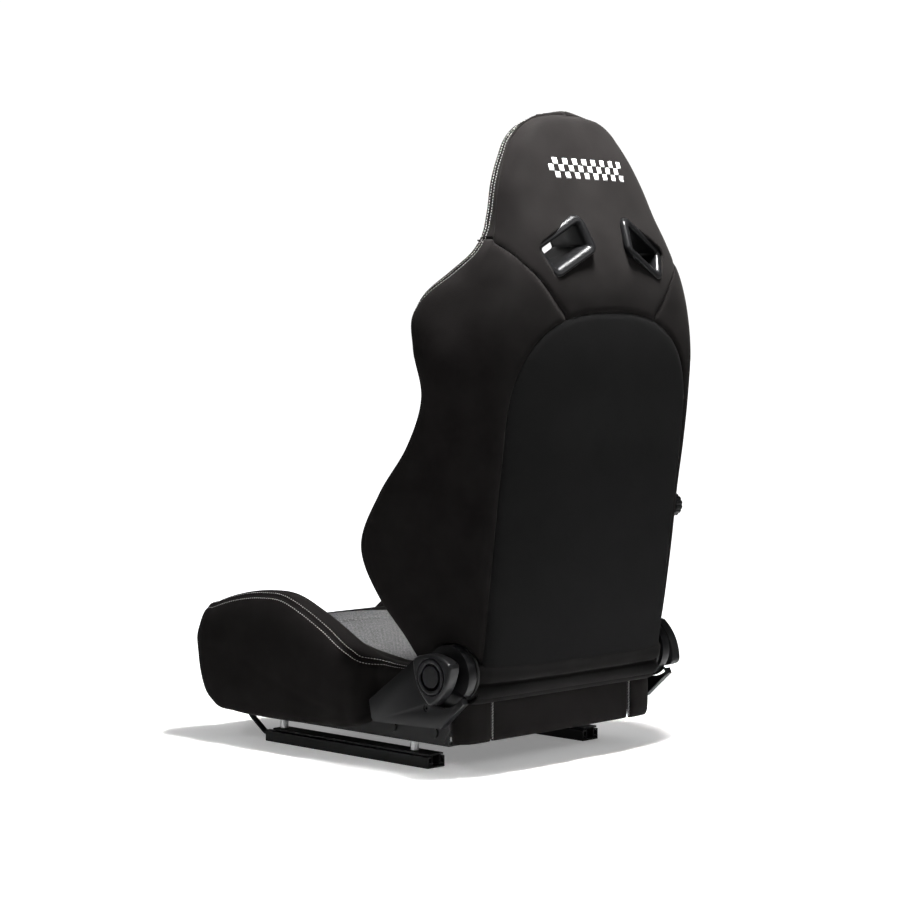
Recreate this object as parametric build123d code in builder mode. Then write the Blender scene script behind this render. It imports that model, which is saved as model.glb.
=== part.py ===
"""Reclining sport seat on slider rails. Millimetres, +Z up.

The seat faces -Y and its own left side is +X. The origin is the centre of the floor bolt
pattern, on the plane that the rails stand on. Left pieces are built first, and each right
piece mirrors its left one across the YZ plane.
"""

import os
from math import cos, pi, radians, sin, sqrt

from build123d import *

os.makedirs("parts", exist_ok=True)

# ---- driving dimensions -------------------------------------------------------------------
RAIL_X = 170.0              # half the distance between the rail centre lines
RAIL_WIDTH = 34.7
RAIL_LENGTH = 355.0
RAIL_WALL = 2.0
RAIL_FLOOR = 2.5            # thickness of the lower rail's bottom plate
LIP_BOTTOM = 14.5
LIP_TOP = 16.9
LIP_EDGE = 10.5             # half the slot between the lips
RAIL_TOP = 20.9             # top of the upper rail
TOP_PLATE = 2.5
RUNNING_GAP = 0.05
FLOOR_HOLE_Y = 150.0
FLOOR_HOLE_R = 4.25
NOTCH_PITCH = 15.0
SLIDE_TRAVEL = 90.0         # each way from the middle
UPPER_FRONT = -165.0
UPPER_REAR = 177.0
GLIDE_FAR = 76.0            # outer end of the glide shoes
GLIDE_NEAR = 60.0
STOP_Y = (166.4, 172.0)

SEAT_BOLT_Y = (-153.0, 133.0)
SEAT_BOLT_R = 4.0
SPACER_R = 6.35
FRAME_BOTTOM = 36.0
FRAME_TOP = 76.0
FRAME_FRONT = -200.0
FRAME_REAR = 215.0
FRAME_WIDTH = 24.0
FRAME_WALL = 3.0

TUBE_Z = 58.0
TUBE_R = 11.0
SPRING_R = 1.8
SPRING_Z = TUBE_Z + TUBE_R + SPRING_R

LATCH_PIN_Y = -105.0
LATCH_PIN_Z = 9.0
TOOTH_Y = (-45.0, -30.0, -15.0)
BAR_R = 4.25

HINGE_Y = 251.0
HINGE_Z = 148.0
SHAFT_R = 5.0
BACK_ARM_X = 182.6          # inner face of the backrest's arm plate
ARM_THICKNESS = 4.0
DISC_THICKNESS = 10.0
HINGE_CLEARANCE_R = 48.0    # the wings are cut back this far around the hinge
ARM_POCKET_R = 66.0         # pocket in the wing for the backrest's arm plate
CUSHION_CLEARANCE_R = 78.0  # the cushion's rear ends this far from the hinge axis

SPRING_LEAD = 14.0

CUSHION_HALF = 152.0
CUSHION_BOTTOM = 104.0      # under the thigh roll, clear of the release bar
CUSHION_PAN = 80.0          # where the cushion rests on the frame
CUSHION_FRONT_Z = 176.0
CUSHION_REAR_Z = 138.0
THIGH_LINE = -232.0         # where the insert meets the front roll
COVER_X = (206.0, 231.0)
KNOB_X = (236.0, 256.0)
KNOB_R = 43.0               # from the axis to a lobe's corner before rounding

PAD_DEPTH = 36.0            # thickness of the backrest's centre insert
LOW_PAD_DEPTH = 28.0        # the insert is thinner beside the hinge shaft
REAR_DEPTH = 8.0            # thickness of the backrest's rear panel
SOFT_GAP = 0.4              # gap between neighbouring soft pieces
HOOP_X = 173.0
HOOP_R = 9.5

LUMBAR_Y = 287.0
LUMBAR_Z = 369.0
LUMBAR_TRAVEL = 15.0

# The backrest's shape by height: height, rear surface at the middle, half width at the rear
# corner, how far that corner lies forward of the middle, half width and depth of the wing tip,
# the tip's rounding, half width and depth of the centre insert.
LOWER_ROWS = [
    (160, 310, 198, 10, 209, 181, 15, 150, 216),
    (190, 313, 203, 12, 220, 166, 16, 152, 222),
    (250, 319, 210, 14, 236, 123, 18, 152, 236),
    (320, 328, 213, 15, 243, 93, 19, 152, 240),
    (400, 339, 213, 16, 244, 132, 19, 152, 248),
    (470, 349, 217, 17, 241, 186, 18, 153, 260),
    (540, 357, 220, 18, 240, 214, 18, 156, 270),
    (610, 365, 217, 19, 242, 199, 20, 158, 278),
    (660, 368, 207, 21, 233, 191, 20, 152, 282),
    (690, 369, 200, 23, 221, 205, 19, 144, 283),
]
HEAD_ROWS = [
    (690.5, 369, 200, 23, 221, 205, 19, 144, 283),
    (720, 366, 191, 25, 200, 235, 17, 130, 283),
    (745, 360, 181, 26, 185, 260, 15, 118, 280),
    (770, 352, 170, 24, 165, 261, 14, 108, 272),
    (800, 340, 158, 22, 147, 254, 14, 98, 262),
    (850, 324, 139, 18, 127, 243, 14, 84, 246),
    (900, 308, 112, 14, 102, 238, 14, 66, 238),
    (930, 297, 84, 10, 80, 240, 12, 48, 242),
    (948, 286, 40, 4, 42, 254, 8, 20, 258),
]
REAR_CORNER_U = 2.7         # where the wing's rear edge lies along the outline
INSERT_EDGE_U = 12.0        # where the wing meets the insert

# Thigh bolster by depth: y, outermost half width, bottom, crest height, insert height.
BOLSTER_ROWS = [
    (-287, 232, 122, 184, 170),
    (-272, 241, 84, 205, 176),
    (-243, 247, 57, 216, 177),
    (-200, 250, 51, 229, 174),
    (-130, 250, 49, 240, 168),
    (-85, 250, 49, 239, 164),
    (-35, 250, 50, 221, 160),
    (8, 249, 52, 199, 156),
    (60, 247, 57, 168, 151),
    (82, 240, 68, 157, 149),
    (97, 214, 100, 151, 147),
    (115, 212, 104, 149, 146),
    (174, 213, 128, 147, 140),
]
BOLSTER_OUTER_FOOT = 192.0
BOLSTER_INNER_FOOT = 190.0

# Corners of the left harness hole's rim on the rear surface.
HARNESS_RIM = [(46, 339, 807), (34, 365, 748), (116, 359, 704), (143, 340, 754)]
RIM_WIDTH = 13.0
RIM_CORNER_R = 15.0
TUNNEL_WALL = 2.5
HEAD_FRONT = Plane(origin=(88, 274, 758), x_dir=(1, 0, 0), z_dir=(0, -0.95, -0.31))


# ---- helpers --------------------------------------------------------------------------------
def save(builder, label):
    """Label a finished piece and write its STEP file."""
    builder.part.label = label
    export_step(builder.part, f"parts/{label}.step")


def save_pair(left, name):
    """Write a left piece and its mirror image."""
    save(left, f"{name}_left")
    with BuildPart() as right:
        add(mirror(left.part, about=Plane.YZ))
    save(right, f"{name}_right")


def yz_plane(x):
    """Plane at x whose sketch axes are the row's Y and Z."""
    return Plane(origin=(x, 0, 0), x_dir=(0, 1, 0), z_dir=(1, 0, 0))


def outline_control(row):
    """Control points of half the backrest's outline, from the rear middle to the insert's middle."""
    _, rear, corner, drop, tip, tip_y, roundness, insert, insert_y = row
    side = rear - drop
    depth = side - tip_y
    turn = min(1.0, corner / 100)
    return [
        (0, rear), (0.45 * corner, rear - 0.12 * drop), (0.8 * corner, rear - 0.45 * drop),
        (corner - 2 * turn, side + 2 * turn), (corner + 3, side - 34 * turn),
        (0.5 * (corner + tip) + 4, side - 0.5 * depth), (tip + 2, tip_y + 1.6 * roundness),
        (tip, tip_y - 0.2 * roundness), (tip - roundness, tip_y - 0.45 * roundness),
        (tip - 2.1 * roundness, tip_y + 0.3 * roundness),
        (insert + 0.45 * (tip - 2 * roundness - insert) + 4, 0.5 * (tip_y + insert_y)),
        (insert + 3, insert_y - 4), (insert - 6, insert_y + 1), (0.6 * insert, insert_y),
        (0, insert_y),
    ]


def outline_point(row, u):
    """Point at parameter u (0 to 14) of the uniform cubic B-spline through that outline."""
    control = outline_control(row)
    first, last = control[1], control[-2]
    points = [(-first[0], first[1])] + control + [(-last[0], last[1])]
    span = min(int(u), len(control) - 2)
    t = u - span
    weights = ((1 - t) ** 3, 3 * t**3 - 6 * t**2 + 4, -3 * t**3 + 3 * t**2 + 3 * t + 1, t**3)
    four = points[span:span + 4]
    return tuple(sum(w * p[axis] for w, p in zip(weights, four)) / 6 for axis in (0, 1))


def outline_run(row, start, end, count):
    """Evenly spaced outline points between two parameters."""
    return [outline_point(row, start + (end - start) * i / count) for i in range(count + 1)]


def rounded_quad(points, radius, inset=0.0):
    """Four-cornered face with rounded corners, drawn in the current sketch."""
    with BuildLine(mode=Mode.PRIVATE) as border:
        Polyline(*points, close=True)
    make_face(border.edges())
    if inset:
        offset(amount=-inset, mode=Mode.REPLACE, kind=Kind.INTERSECTION)
    fillet(vertices(), radius)


# ---- slider rails ---------------------------------------------------------------------------
def lower_rail():
    half = RAIL_WIDTH / 2
    inner = half - RAIL_WALL
    section = Plane.XZ.offset(-RAIL_LENGTH / 2)
    with BuildPart() as rail:
        with BuildSketch(section):
            with Locations((RAIL_X, LIP_TOP / 2)):
                Rectangle(RAIL_WIDTH, LIP_TOP)
            with Locations((RAIL_X, (RAIL_FLOOR + LIP_BOTTOM) / 2)):
                Rectangle(2 * inner, LIP_BOTTOM - RAIL_FLOOR, mode=Mode.SUBTRACT)
            with Locations((RAIL_X, LIP_TOP)):
                Rectangle(2 * LIP_EDGE, 2 * LIP_TOP - 2 * RAIL_FLOOR, mode=Mode.SUBTRACT)
        extrude(amount=RAIL_LENGTH)
        outer_edges = rail.edges().filter_by(Axis.Y).group_by(Axis.Z)[-1].sort_by(Axis.X)
        fillet([outer_edges[0], outer_edges[-1]], 1.2)
        steps = round(SLIDE_TRAVEL / NOTCH_PITCH)
        notch_y = [TOOTH_Y[0] + NOTCH_PITCH * n for n in range(-steps, steps + len(TOOTH_Y))]
        with BuildSketch(Plane.XY.offset(LIP_BOTTOM)):
            with Locations(*[(RAIL_X, y) for y in notch_y]):
                Rectangle(2 * (LIP_EDGE + 3.2), 7.0)
        extrude(amount=LIP_TOP - LIP_BOTTOM, mode=Mode.SUBTRACT)
        with Locations((RAIL_X, FLOOR_HOLE_Y, 0), (RAIL_X, -FLOOR_HOLE_Y, 0)):
            Cylinder(FLOOR_HOLE_R, 2 * RAIL_FLOOR, mode=Mode.SUBTRACT)
    return rail


def upper_rail():
    length = UPPER_REAR - UPPER_FRONT
    plate_bottom = RAIL_TOP - TOP_PLATE
    with BuildPart() as rail:
        with BuildSketch(Plane.XZ.offset(-UPPER_REAR)):
            with Locations((RAIL_X, (RAIL_TOP + plate_bottom) / 2)):
                Rectangle(30.0, TOP_PLATE)
            with Locations((RAIL_X - 8, 11.5), (RAIL_X + 8, 11.5)):
                Rectangle(2.0, 14.0)
            with Locations((RAIL_X - 11, 5.7), (RAIL_X + 11, 5.7)):
                Rectangle(7.0, 2.4)
        extrude(amount=length)
        with Locations((RAIL_X, TOOTH_Y[1], 10.0)):
            Box(40.0, 46.0, 14.8, mode=Mode.SUBTRACT)
        with Locations(*[(RAIL_X, y, RAIL_TOP) for y in SEAT_BOLT_Y]):
            Cylinder(SEAT_BOLT_R + 0.2, 3 * TOP_PLATE, mode=Mode.SUBTRACT)
        with Locations(Plane(origin=(RAIL_X, LATCH_PIN_Y, LATCH_PIN_Z), z_dir=(1, 0, 0))):
            Cylinder(2.5, 30.0, mode=Mode.SUBTRACT)
        corners = rail.edges().filter_by(Axis.Z).filter_by_position(
            Axis.Y, UPPER_FRONT - 1, UPPER_FRONT + 1).group_by(Axis.Z)[-1].sort_by(Axis.X)
        fillet([corners[0], corners[-1]], 4.0)
    return rail


def rail_glides():
    """Nylon shoes: one above and one below each flange, at two stations per rail."""
    low = (RAIL_FLOOR + RUNNING_GAP, 4.5)
    high = (6.9, LIP_BOTTOM - RUNNING_GAP)
    outer = RAIL_WIDTH / 2 - RAIL_WALL - RUNNING_GAP
    width = outer - 9.0
    with BuildPart() as glides:
        for side in (-1, 1):
            for station in (-1, 1):
                for flank in (-1, 1):
                    x = side * RAIL_X + flank * (9.0 + width / 2)
                    y = station * (GLIDE_FAR + GLIDE_NEAR) / 2
                    for bottom, top in (low, high):
                        with Locations((x, y, (bottom + top) / 2)):
                            Box(width, GLIDE_FAR - GLIDE_NEAR, top - bottom)
    return glides


def rail_stops():
    """Blocks welded under the lower rails' lips, which end the slide's travel."""
    x_near = RAIL_WIDTH / 2 - RAIL_WALL
    with BuildPart() as stops:
        for side in (-1, 1):
            for flank in (-1, 1):
                for end in (-1, 1):
                    x = side * RAIL_X + flank * (LIP_EDGE + x_near) / 2
                    with Locations((x, end * (STOP_Y[0] + STOP_Y[1]) / 2, (8.0 + LIP_BOTTOM) / 2)):
                        Box(x_near - LIP_EDGE, STOP_Y[1] - STOP_Y[0], LIP_BOTTOM - 8.0)
    return stops


# ---- slider release -------------------------------------------------------------------------
def latch_lever():
    """Flat lever on a pin: teeth behind the pin, a socket for the towel bar in front."""
    with BuildPart() as lever:
        with BuildSketch(yz_plane(RAIL_X - 2)):
            with BuildLine():
                Polyline((-182, 5.6), (-182, 9.4), (-125, 9.4), (-111, 12.4), (-56, 12.4),
                         (-56, 12.6), (-6, 12.6), (-6, 10.6), (-98, 6.2), (-111, 4.4), (-130, 4.4),
                         (-150, 5.6), close=True)
            make_face()
        extrude(amount=4.0)
        with Locations(*[(RAIL_X, y, 14.7) for y in TOOTH_Y]):
            Box(2 * (LIP_EDGE + 2.6), 6.0, LIP_TOP - 12.5)
        with Locations((RAIL_X, TOOTH_Y[1], 13.6)):
            Box(4.0, 36.0, 2.2)
        pivot = Plane(origin=(RAIL_X, LATCH_PIN_Y, LATCH_PIN_Z), z_dir=(1, 0, 0))
        with Locations(pivot):
            Cylinder(2.55, 10.0, mode=Mode.SUBTRACT)
        sleeve = Plane(origin=(RAIL_X, -180, 9.5), z_dir=(0, 1, 0))
        with Locations(sleeve):
            Cylinder(BAR_R + 1.6, 16.0)
        with Locations(sleeve):
            Cylinder(BAR_R, 16.4, mode=Mode.SUBTRACT)
    return lever


def latch_pins():
    with BuildPart() as pins:
        for side in (-1, 1):
            with Locations(Plane(origin=(side * RAIL_X, LATCH_PIN_Y, LATCH_PIN_Z), z_dir=(1, 0, 0))):
                Cylinder(2.48, 18.0)
    return pins


def latch_springs():
    """Two close coils of wire beside each lever, around its pin."""
    with BuildPart() as springs:
        for side in (-1, 1):
            for x in (3.0, 4.2):
                with Locations(Plane(origin=(side * (RAIL_X + x), LATCH_PIN_Y, LATCH_PIN_Z),
                                     z_dir=(1, 0, 0))):
                    Torus(3.4, 0.55)
    return springs


def towel_bar():
    reach = [(RAIL_X, -176, 9.5), (RAIL_X, -196, 9.5), (RAIL_X, -236, 37), (RAIL_X, -236, 80)]
    route = reach + [(-x, y, z) for x, y, z in reversed(reach)]
    with BuildPart() as bar:
        with BuildLine():
            FilletPolyline(*route, radius=(16, 20, 24, 24, 20, 16))
        with BuildSketch(Plane(origin=reach[0], z_dir=(0, -1, 0))):
            Circle(BAR_R)
        sweep()
    return bar


# ---- seat base ------------------------------------------------------------------------------
def seat_spacers():
    with BuildPart() as spacers:
        for side in (-1, 1):
            for y in SEAT_BOLT_Y:
                with BuildSketch(Plane.XY.offset(RAIL_TOP)):
                    with Locations((side * RAIL_X, y)):
                        Circle(SPACER_R)
                        Circle(SEAT_BOLT_R + 0.1, mode=Mode.SUBTRACT)
                extrude(amount=FRAME_BOTTOM - RAIL_TOP)
    return spacers


def seat_bolts():
    head_top = RAIL_TOP - TOP_PLATE
    with BuildPart() as bolts:
        for side in (-1, 1):
            for y in SEAT_BOLT_Y:
                with BuildSketch(Plane.XY.offset(head_top - 3.6)):
                    with Locations((side * RAIL_X, y)):
                        Circle(6.0)
                extrude(amount=3.6)
                with BuildSketch(Plane.XY.offset(head_top)):
                    with Locations((side * RAIL_X, y)):
                        Circle(SEAT_BOLT_R)
                extrude(amount=FRAME_BOTTOM + 12.0 - head_top)
    return bolts


def seat_nuts():
    with BuildPart() as nuts:
        for side in (-1, 1):
            for y in SEAT_BOLT_Y:
                with BuildSketch(Plane.XY.offset(FRAME_BOTTOM + FRAME_WALL)):
                    with Locations((side * RAIL_X, y)):
                        RegularPolygon(7.5, 6)
                        Circle(SEAT_BOLT_R, mode=Mode.SUBTRACT)
                extrude(amount=6.5)
    return nuts


def frame_side():
    """Channel open towards the middle of the seat, with a foot hole over each spacer."""
    height = FRAME_TOP - FRAME_BOTTOM
    centre = (RAIL_X, (FRAME_TOP + FRAME_BOTTOM) / 2)
    with BuildPart() as side:
        with BuildSketch(Plane.XZ.offset(-FRAME_REAR)):
            with Locations(centre):
                Rectangle(FRAME_WIDTH, height)
            with Locations((centre[0] - FRAME_WALL, centre[1])):
                Rectangle(FRAME_WIDTH, height - 2 * FRAME_WALL, mode=Mode.SUBTRACT)
        extrude(amount=FRAME_REAR - FRAME_FRONT)
        with Locations(*[(RAIL_X, y, FRAME_BOTTOM) for y in SEAT_BOLT_Y]):
            Cylinder(SEAT_BOLT_R + 0.1, 3 * FRAME_WALL, mode=Mode.SUBTRACT)
    return side


def cross_tube(y, z, radius, half_length):
    with BuildPart() as tube:
        with BuildSketch(yz_plane(-half_length)):
            with Locations((y, z)):
                Circle(radius)
                Circle(radius - 2.0, mode=Mode.SUBTRACT)
        extrude(amount=2 * half_length)
    return tube


def zigzag(start, end, across, bends):
    """Corners of a sinuous spring: a straight lead at both ends and bends between them."""
    along = (end - start).normalized()
    first, last = start + along * SPRING_LEAD, end - along * SPRING_LEAD
    step = (last - first) / bends
    points = [start]
    for n in range(bends):
        sign = 1 if n % 2 == 0 else -1
        points.append(first + step * n + across * sign)
        points.append(first + step * (n + 1) + across * sign)
    points.append(last)
    points[1:1] = [first]
    points.append(end)
    return points


def seat_springs():
    with BuildPart() as springs:
        for x in (-105, -35, 35, 105):
            start, end = Vector(x, -182, SPRING_Z), Vector(x, 206, SPRING_Z)
            with BuildLine() as wire:
                FilletPolyline(*zigzag(start, end, Vector(18, 0, 0), 9), radius=8)
            with BuildSketch(Plane(origin=start, z_dir=wire.line % 0)):
                Circle(SPRING_R)
            sweep(path=wire.line)
    return springs


def seat_cushion():
    """Centre insert, thicker in front, ending in a hollow around the hinge axis."""
    with BuildPart() as cushion:
        with BuildSketch(yz_plane(-CUSHION_HALF)):
            with BuildLine():
                top_front = (THIGH_LINE + SOFT_GAP, CUSHION_FRONT_Z)
                top_rear = (196, CUSHION_REAR_Z)
                crest = Spline(top_front, (-60, 160), top_rear)
                Polyline(crest @ 1, (205, CUSHION_PAN), (-192, CUSHION_PAN),
                         (-200, CUSHION_BOTTOM), (THIGH_LINE + SOFT_GAP, CUSHION_BOTTOM), crest @ 0)
            make_face()
            with Locations((HINGE_Y, HINGE_Z)):
                Circle(CUSHION_CLEARANCE_R, mode=Mode.SUBTRACT)
        extrude(amount=2 * CUSHION_HALF)
    return cushion


def thigh_roll():
    with BuildPart() as roll:
        with BuildSketch(yz_plane(-CUSHION_HALF)):
            with BuildLine():
                nose = Spline((THIGH_LINE, CUSHION_FRONT_Z), (-262, 174), (-284, 150), (-276, 118),
                              (-262, CUSHION_BOTTOM))
                Polyline(nose @ 1, (THIGH_LINE, CUSHION_BOTTOM), nose @ 0)
            make_face()
        extrude(amount=2 * CUSHION_HALF)
    return roll


def thigh_bolster():
    """Side of the cushion: a crest that falls away to the rear, with a deep outer flank."""
    inner = CUSHION_HALF + SOFT_GAP
    with BuildPart() as bolster:
        for y, outer, bottom, crest, seat in BOLSTER_ROWS:
            height = crest - bottom
            foot = max(CUSHION_BOTTOM, bottom + 4)
            with BuildSketch(Plane(origin=(0, y, 0), x_dir=(1, 0, 0), z_dir=(0, -1, 0))):
                with BuildLine():
                    Polyline(
                        (BOLSTER_OUTER_FOOT, bottom), (outer - 16, bottom + 1),
                        (outer - 4, bottom + 0.14 * height), (outer, bottom + 0.34 * height),
                        (outer, bottom + 0.6 * height), (outer - 5, crest - 0.18 * height),
                        (outer - 16, crest - 0.04 * height), (outer - 28, crest),
                        (0.5 * (outer + inner) - 4, crest - 0.06 * (crest - seat)),
                        (inner + 0.28 * (outer - inner), seat + 0.55 * (crest - seat)),
                        (inner, seat), (inner, foot), (BOLSTER_INNER_FOOT, foot), close=True)
                make_face()
        loft(ruled=True)
    return bolster


def rear_skirt():
    """Panel around the rear of the base, turned forward at both ends."""
    with BuildPart() as skirt:
        with BuildSketch(Plane.XY.offset(46.0)):
            with BuildLine():
                Polyline((-205.5, 246), (-205.5, 262), (-194, 270), (0, 272), (194, 270),
                         (205.5, 262), (205.5, 246), (201.5, 246), (201.5, 260), (192, 266),
                         (0, 268), (-192, 266), (-201.5, 260), (-201.5, 246), close=True)
            make_face()
        extrude(amount=66.0)
        with Locations(Plane(origin=(0, HINGE_Y, HINGE_Z), z_dir=(1, 0, 0))):
            Cylinder(42.5, 600.0, mode=Mode.SUBTRACT)
    return skirt


# ---- recliner -------------------------------------------------------------------------------
BASE_ARM_X = BACK_ARM_X + ARM_THICKNESS + 0.1 + DISC_THICKNESS
COVER_SCREWS = ((218.0, 98.0),)
ARM_BOLTS = ((120.0, 58.0), (205.0, 58.0))


def base_arm():
    with BuildPart() as arm:
        with BuildSketch(yz_plane(BASE_ARM_X)):
            with BuildLine():
                Polyline((100, 44), (222, 44), (256, 100), (HINGE_Y + 20, 170), (HINGE_Y - 30, 172),
                         (206, 128), (110, 90), (100, 80), close=True)
            make_face()
            with Locations((HINGE_Y, HINGE_Z)):
                Circle(40.0)
                Circle(SHAFT_R + 0.3, mode=Mode.SUBTRACT)
            with Locations(*ARM_BOLTS):
                Circle(5.0, mode=Mode.SUBTRACT)
            with Locations(*COVER_SCREWS):
                Circle(2.6, mode=Mode.SUBTRACT)
        extrude(amount=ARM_THICKNESS)
    return arm


def recliner_disc():
    with BuildPart() as disc:
        with BuildSketch(yz_plane(BASE_ARM_X - DISC_THICKNESS)):
            with Locations((HINGE_Y, HINGE_Z)):
                Circle(33.0)
                Circle(SHAFT_R + 0.3, mode=Mode.SUBTRACT)
        extrude(amount=DISC_THICKNESS)
    return disc


def arm_bolts():
    """Bolts through each base arm and a spacer sleeve into the frame side."""
    frame_face = RAIL_X + FRAME_WIDTH / 2
    with BuildPart() as bolts:
        for y, z in ARM_BOLTS:
            for start, end, radius in ((frame_face, BASE_ARM_X, 8.0),
                                       (BASE_ARM_X, BASE_ARM_X + ARM_THICKNESS, 5.0),
                                       (BASE_ARM_X + ARM_THICKNESS, BASE_ARM_X + 7.6, 8.0)):
                with BuildSketch(yz_plane(start)):
                    with Locations((y, z)):
                        Circle(radius)
                extrude(amount=end - start)
        mirror(bolts.part, about=Plane.YZ)
    return bolts


def side_cover():
    """Moulded cover over the recliner: a flat shell with a ring around the knob's hub."""
    inner, outer = COVER_X
    face = outer - 12.0
    shape = [(100, 98), (106, 67), (246, 71), (290, 110), (286, 118), (262, 130), (232, 132),
             (193, 165)]
    with BuildPart() as cover:
        with BuildSketch(yz_plane(face)):
            with BuildLine():
                Polyline(*shape, close=True)
            make_face()
            fillet(vertices().group_by(Axis.Y)[0], 8.0)
        extrude(amount=outer - face)
        with BuildSketch(yz_plane(inner)):
            with Locations((HINGE_Y, HINGE_Z)):
                Circle(42.0)
        extrude(amount=face + 2.0 - inner)
        with BuildSketch(yz_plane(inner)):
            with Locations((HINGE_Y, HINGE_Z)):
                Circle(38.0)
        extrude(amount=face - 1.0 - inner, mode=Mode.SUBTRACT)
        with BuildSketch(yz_plane(face)):
            with BuildLine():
                Polyline(*shape, close=True)
            make_face()
            offset(amount=-3.0, mode=Mode.REPLACE, kind=Kind.INTERSECTION)
            with Locations((HINGE_Y, HINGE_Z)):
                Circle(45.0, mode=Mode.SUBTRACT)
        extrude(amount=9.0, mode=Mode.SUBTRACT)
        with BuildSketch(yz_plane(inner - 1)):
            with Locations((HINGE_Y, HINGE_Z)):
                Circle(15.0)
        extrude(amount=40.0, mode=Mode.SUBTRACT)
        with BuildSketch(yz_plane(outer)):
            with Locations((HINGE_Y, HINGE_Z)):
                Circle(46.0)
        extrude(amount=-9.9, mode=Mode.SUBTRACT)
        with BuildSketch(yz_plane(BASE_ARM_X + ARM_THICKNESS)):
            with Locations(*COVER_SCREWS):
                Circle(6.5)
        extrude(until=Until.NEXT)
        with BuildSketch(yz_plane(BASE_ARM_X)):
            with Locations(*COVER_SCREWS):
                Circle(2.6)
        extrude(amount=40.0, mode=Mode.SUBTRACT)
        with BuildSketch(yz_plane(outer)):
            with Locations(*COVER_SCREWS):
                Circle(5.2)
        extrude(amount=-3.5, mode=Mode.SUBTRACT)
    return cover


def cover_screws():
    outer = COVER_X[1]
    with BuildPart() as screws:
        for y, z in COVER_SCREWS:
            with BuildSketch(yz_plane(BASE_ARM_X - 2)):
                with Locations((y, z)):
                    Circle(2.5)
            extrude(amount=outer - 3.5 - BASE_ARM_X + 2)
            with BuildSketch(yz_plane(outer - 3.5)):
                with Locations((y, z)):
                    Circle(4.8)
                    RegularPolygon(2.4, 6, mode=Mode.SUBTRACT)
            extrude(amount=2.6)
        mirror(screws.part, about=Plane.YZ)
    return screws


def recline_shaft():
    with BuildPart() as shaft:
        with BuildSketch(yz_plane(-KNOB_X[1] + 4)):
            with Locations((HINGE_Y, HINGE_Z)):
                Circle(SHAFT_R)
        extrude(amount=2 * KNOB_X[1] - 8)
    return shaft


def lobed_knob(first_lobe, side):
    """Three-lobed knob: the overlap of three discs, each centred on the opposite corner."""
    inner, outer = KNOB_X
    corners = [(HINGE_Y + KNOB_R * cos(radians(first_lobe + 120 * n)),
                HINGE_Z + KNOB_R * sin(radians(first_lobe + 120 * n))) for n in range(3)]
    with BuildPart() as knob:
        with BuildSketch(yz_plane(inner)):
            with Locations(corners[0]):
                Circle(KNOB_R * sqrt(3))
            for corner in corners[1:]:
                with Locations(corner):
                    Circle(KNOB_R * sqrt(3), mode=Mode.INTERSECT)
            fillet(vertices(), 9.0)
        extrude(amount=outer - inner)
        fillet(knob.faces().sort_by(Axis.X)[-1].edges(), 4.5)
        fillet(knob.faces().sort_by(Axis.X)[0].edges(), 2.0)
        with BuildSketch(yz_plane(inner)):
            with Locations((HINGE_Y, HINGE_Z)):
                Circle(12.5)
        extrude(amount=-(inner - COVER_X[1] + 16.0))
        with BuildSketch(yz_plane(outer)):
            with Locations((HINGE_Y, HINGE_Z)):
                Circle(26.3)
        extrude(amount=-3.5, mode=Mode.SUBTRACT)
        with BuildSketch(yz_plane(inner - 60)):
            with Locations((HINGE_Y, HINGE_Z)):
                Circle(SHAFT_R)
        extrude(amount=60 + outer - inner - 4, mode=Mode.SUBTRACT)
    if side > 0:
        return knob
    with BuildPart() as far_knob:
        add(mirror(knob.part, about=Plane.YZ))
    return far_knob


def knob_caps():
    """Slightly dished round caps in the knobs' faces."""
    outer = KNOB_X[1]
    with BuildPart() as caps:
        with BuildSketch(Plane(origin=(outer - 3.5, HINGE_Y, HINGE_Z), x_dir=(1, 0, 0),
                               z_dir=(0, -1, 0))):
            with BuildLine():
                dish = Spline((3.4, 0), (3.8, 12), (4.6, 22))
                Polyline(dish @ 1, (4.2, 25.6), (3.0, 26.1), (0, 26.1), (0, 0), dish @ 0)
            make_face()
        revolve(axis=Axis((outer, HINGE_Y, HINGE_Z), (1, 0, 0)))
        mirror(caps.part, about=Plane.YZ)
    return caps


# ---- backrest -------------------------------------------------------------------------------
def hoop_y(z):
    """Depth of the hoop's centre line, which leans with the hollow behind the insert."""
    knee = (325.0, 540.0)
    if z < knee[1]:
        return knee[0] + (z - knee[1]) * 0.1324
    return knee[0] + (z - knee[1]) * 0.091


def back_arm():
    with BuildPart() as arm:
        with BuildSketch(yz_plane(BACK_ARM_X)):
            with Locations((HINGE_Y, HINGE_Z)):
                Circle(36.0)
            with BuildLine():
                Polyline((262, 150), (272, 192), (hoop_y(300) - 9, 300), (hoop_y(300) + 9, 300),
                         (294, 192), (286, 150), close=True)
            make_face()
            with Locations((HINGE_Y, HINGE_Z)):
                Circle(SHAFT_R + 0.08, mode=Mode.SUBTRACT)
        extrude(amount=ARM_THICKNESS)
    return arm


def back_hoop():
    top = 672.0
    route = [(HOOP_X, hoop_y(200), 200), (HOOP_X, hoop_y(540), 540), (HOOP_X, hoop_y(top), top)]
    route += [(-x, y, z) for x, y, z in reversed(route)]
    with BuildPart() as hoop:
        with BuildLine() as path:
            FilletPolyline(*route, radius=(200, 45, 45, 200))
        with BuildSketch(Plane(origin=route[0], z_dir=path.line % 0)):
            Circle(HOOP_R)
        sweep(path=path.line)
    return hoop


def head_frame():
    """Narrow inverted U from the hoop's top into the head section, between the harness holes."""
    foot, top = Vector(16, 344, 683), Vector(16, 278, 890)
    route = [foot, top, Vector(-16, top.Y, top.Z), Vector(-16, foot.Y, foot.Z)]
    with BuildPart() as posts:
        with BuildLine() as path:
            FilletPolyline(*route, radius=14)
        with BuildSketch(Plane(origin=foot, z_dir=path.line % 0)):
            Circle(6.0)
        sweep(path=path.line)
    return posts


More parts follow.
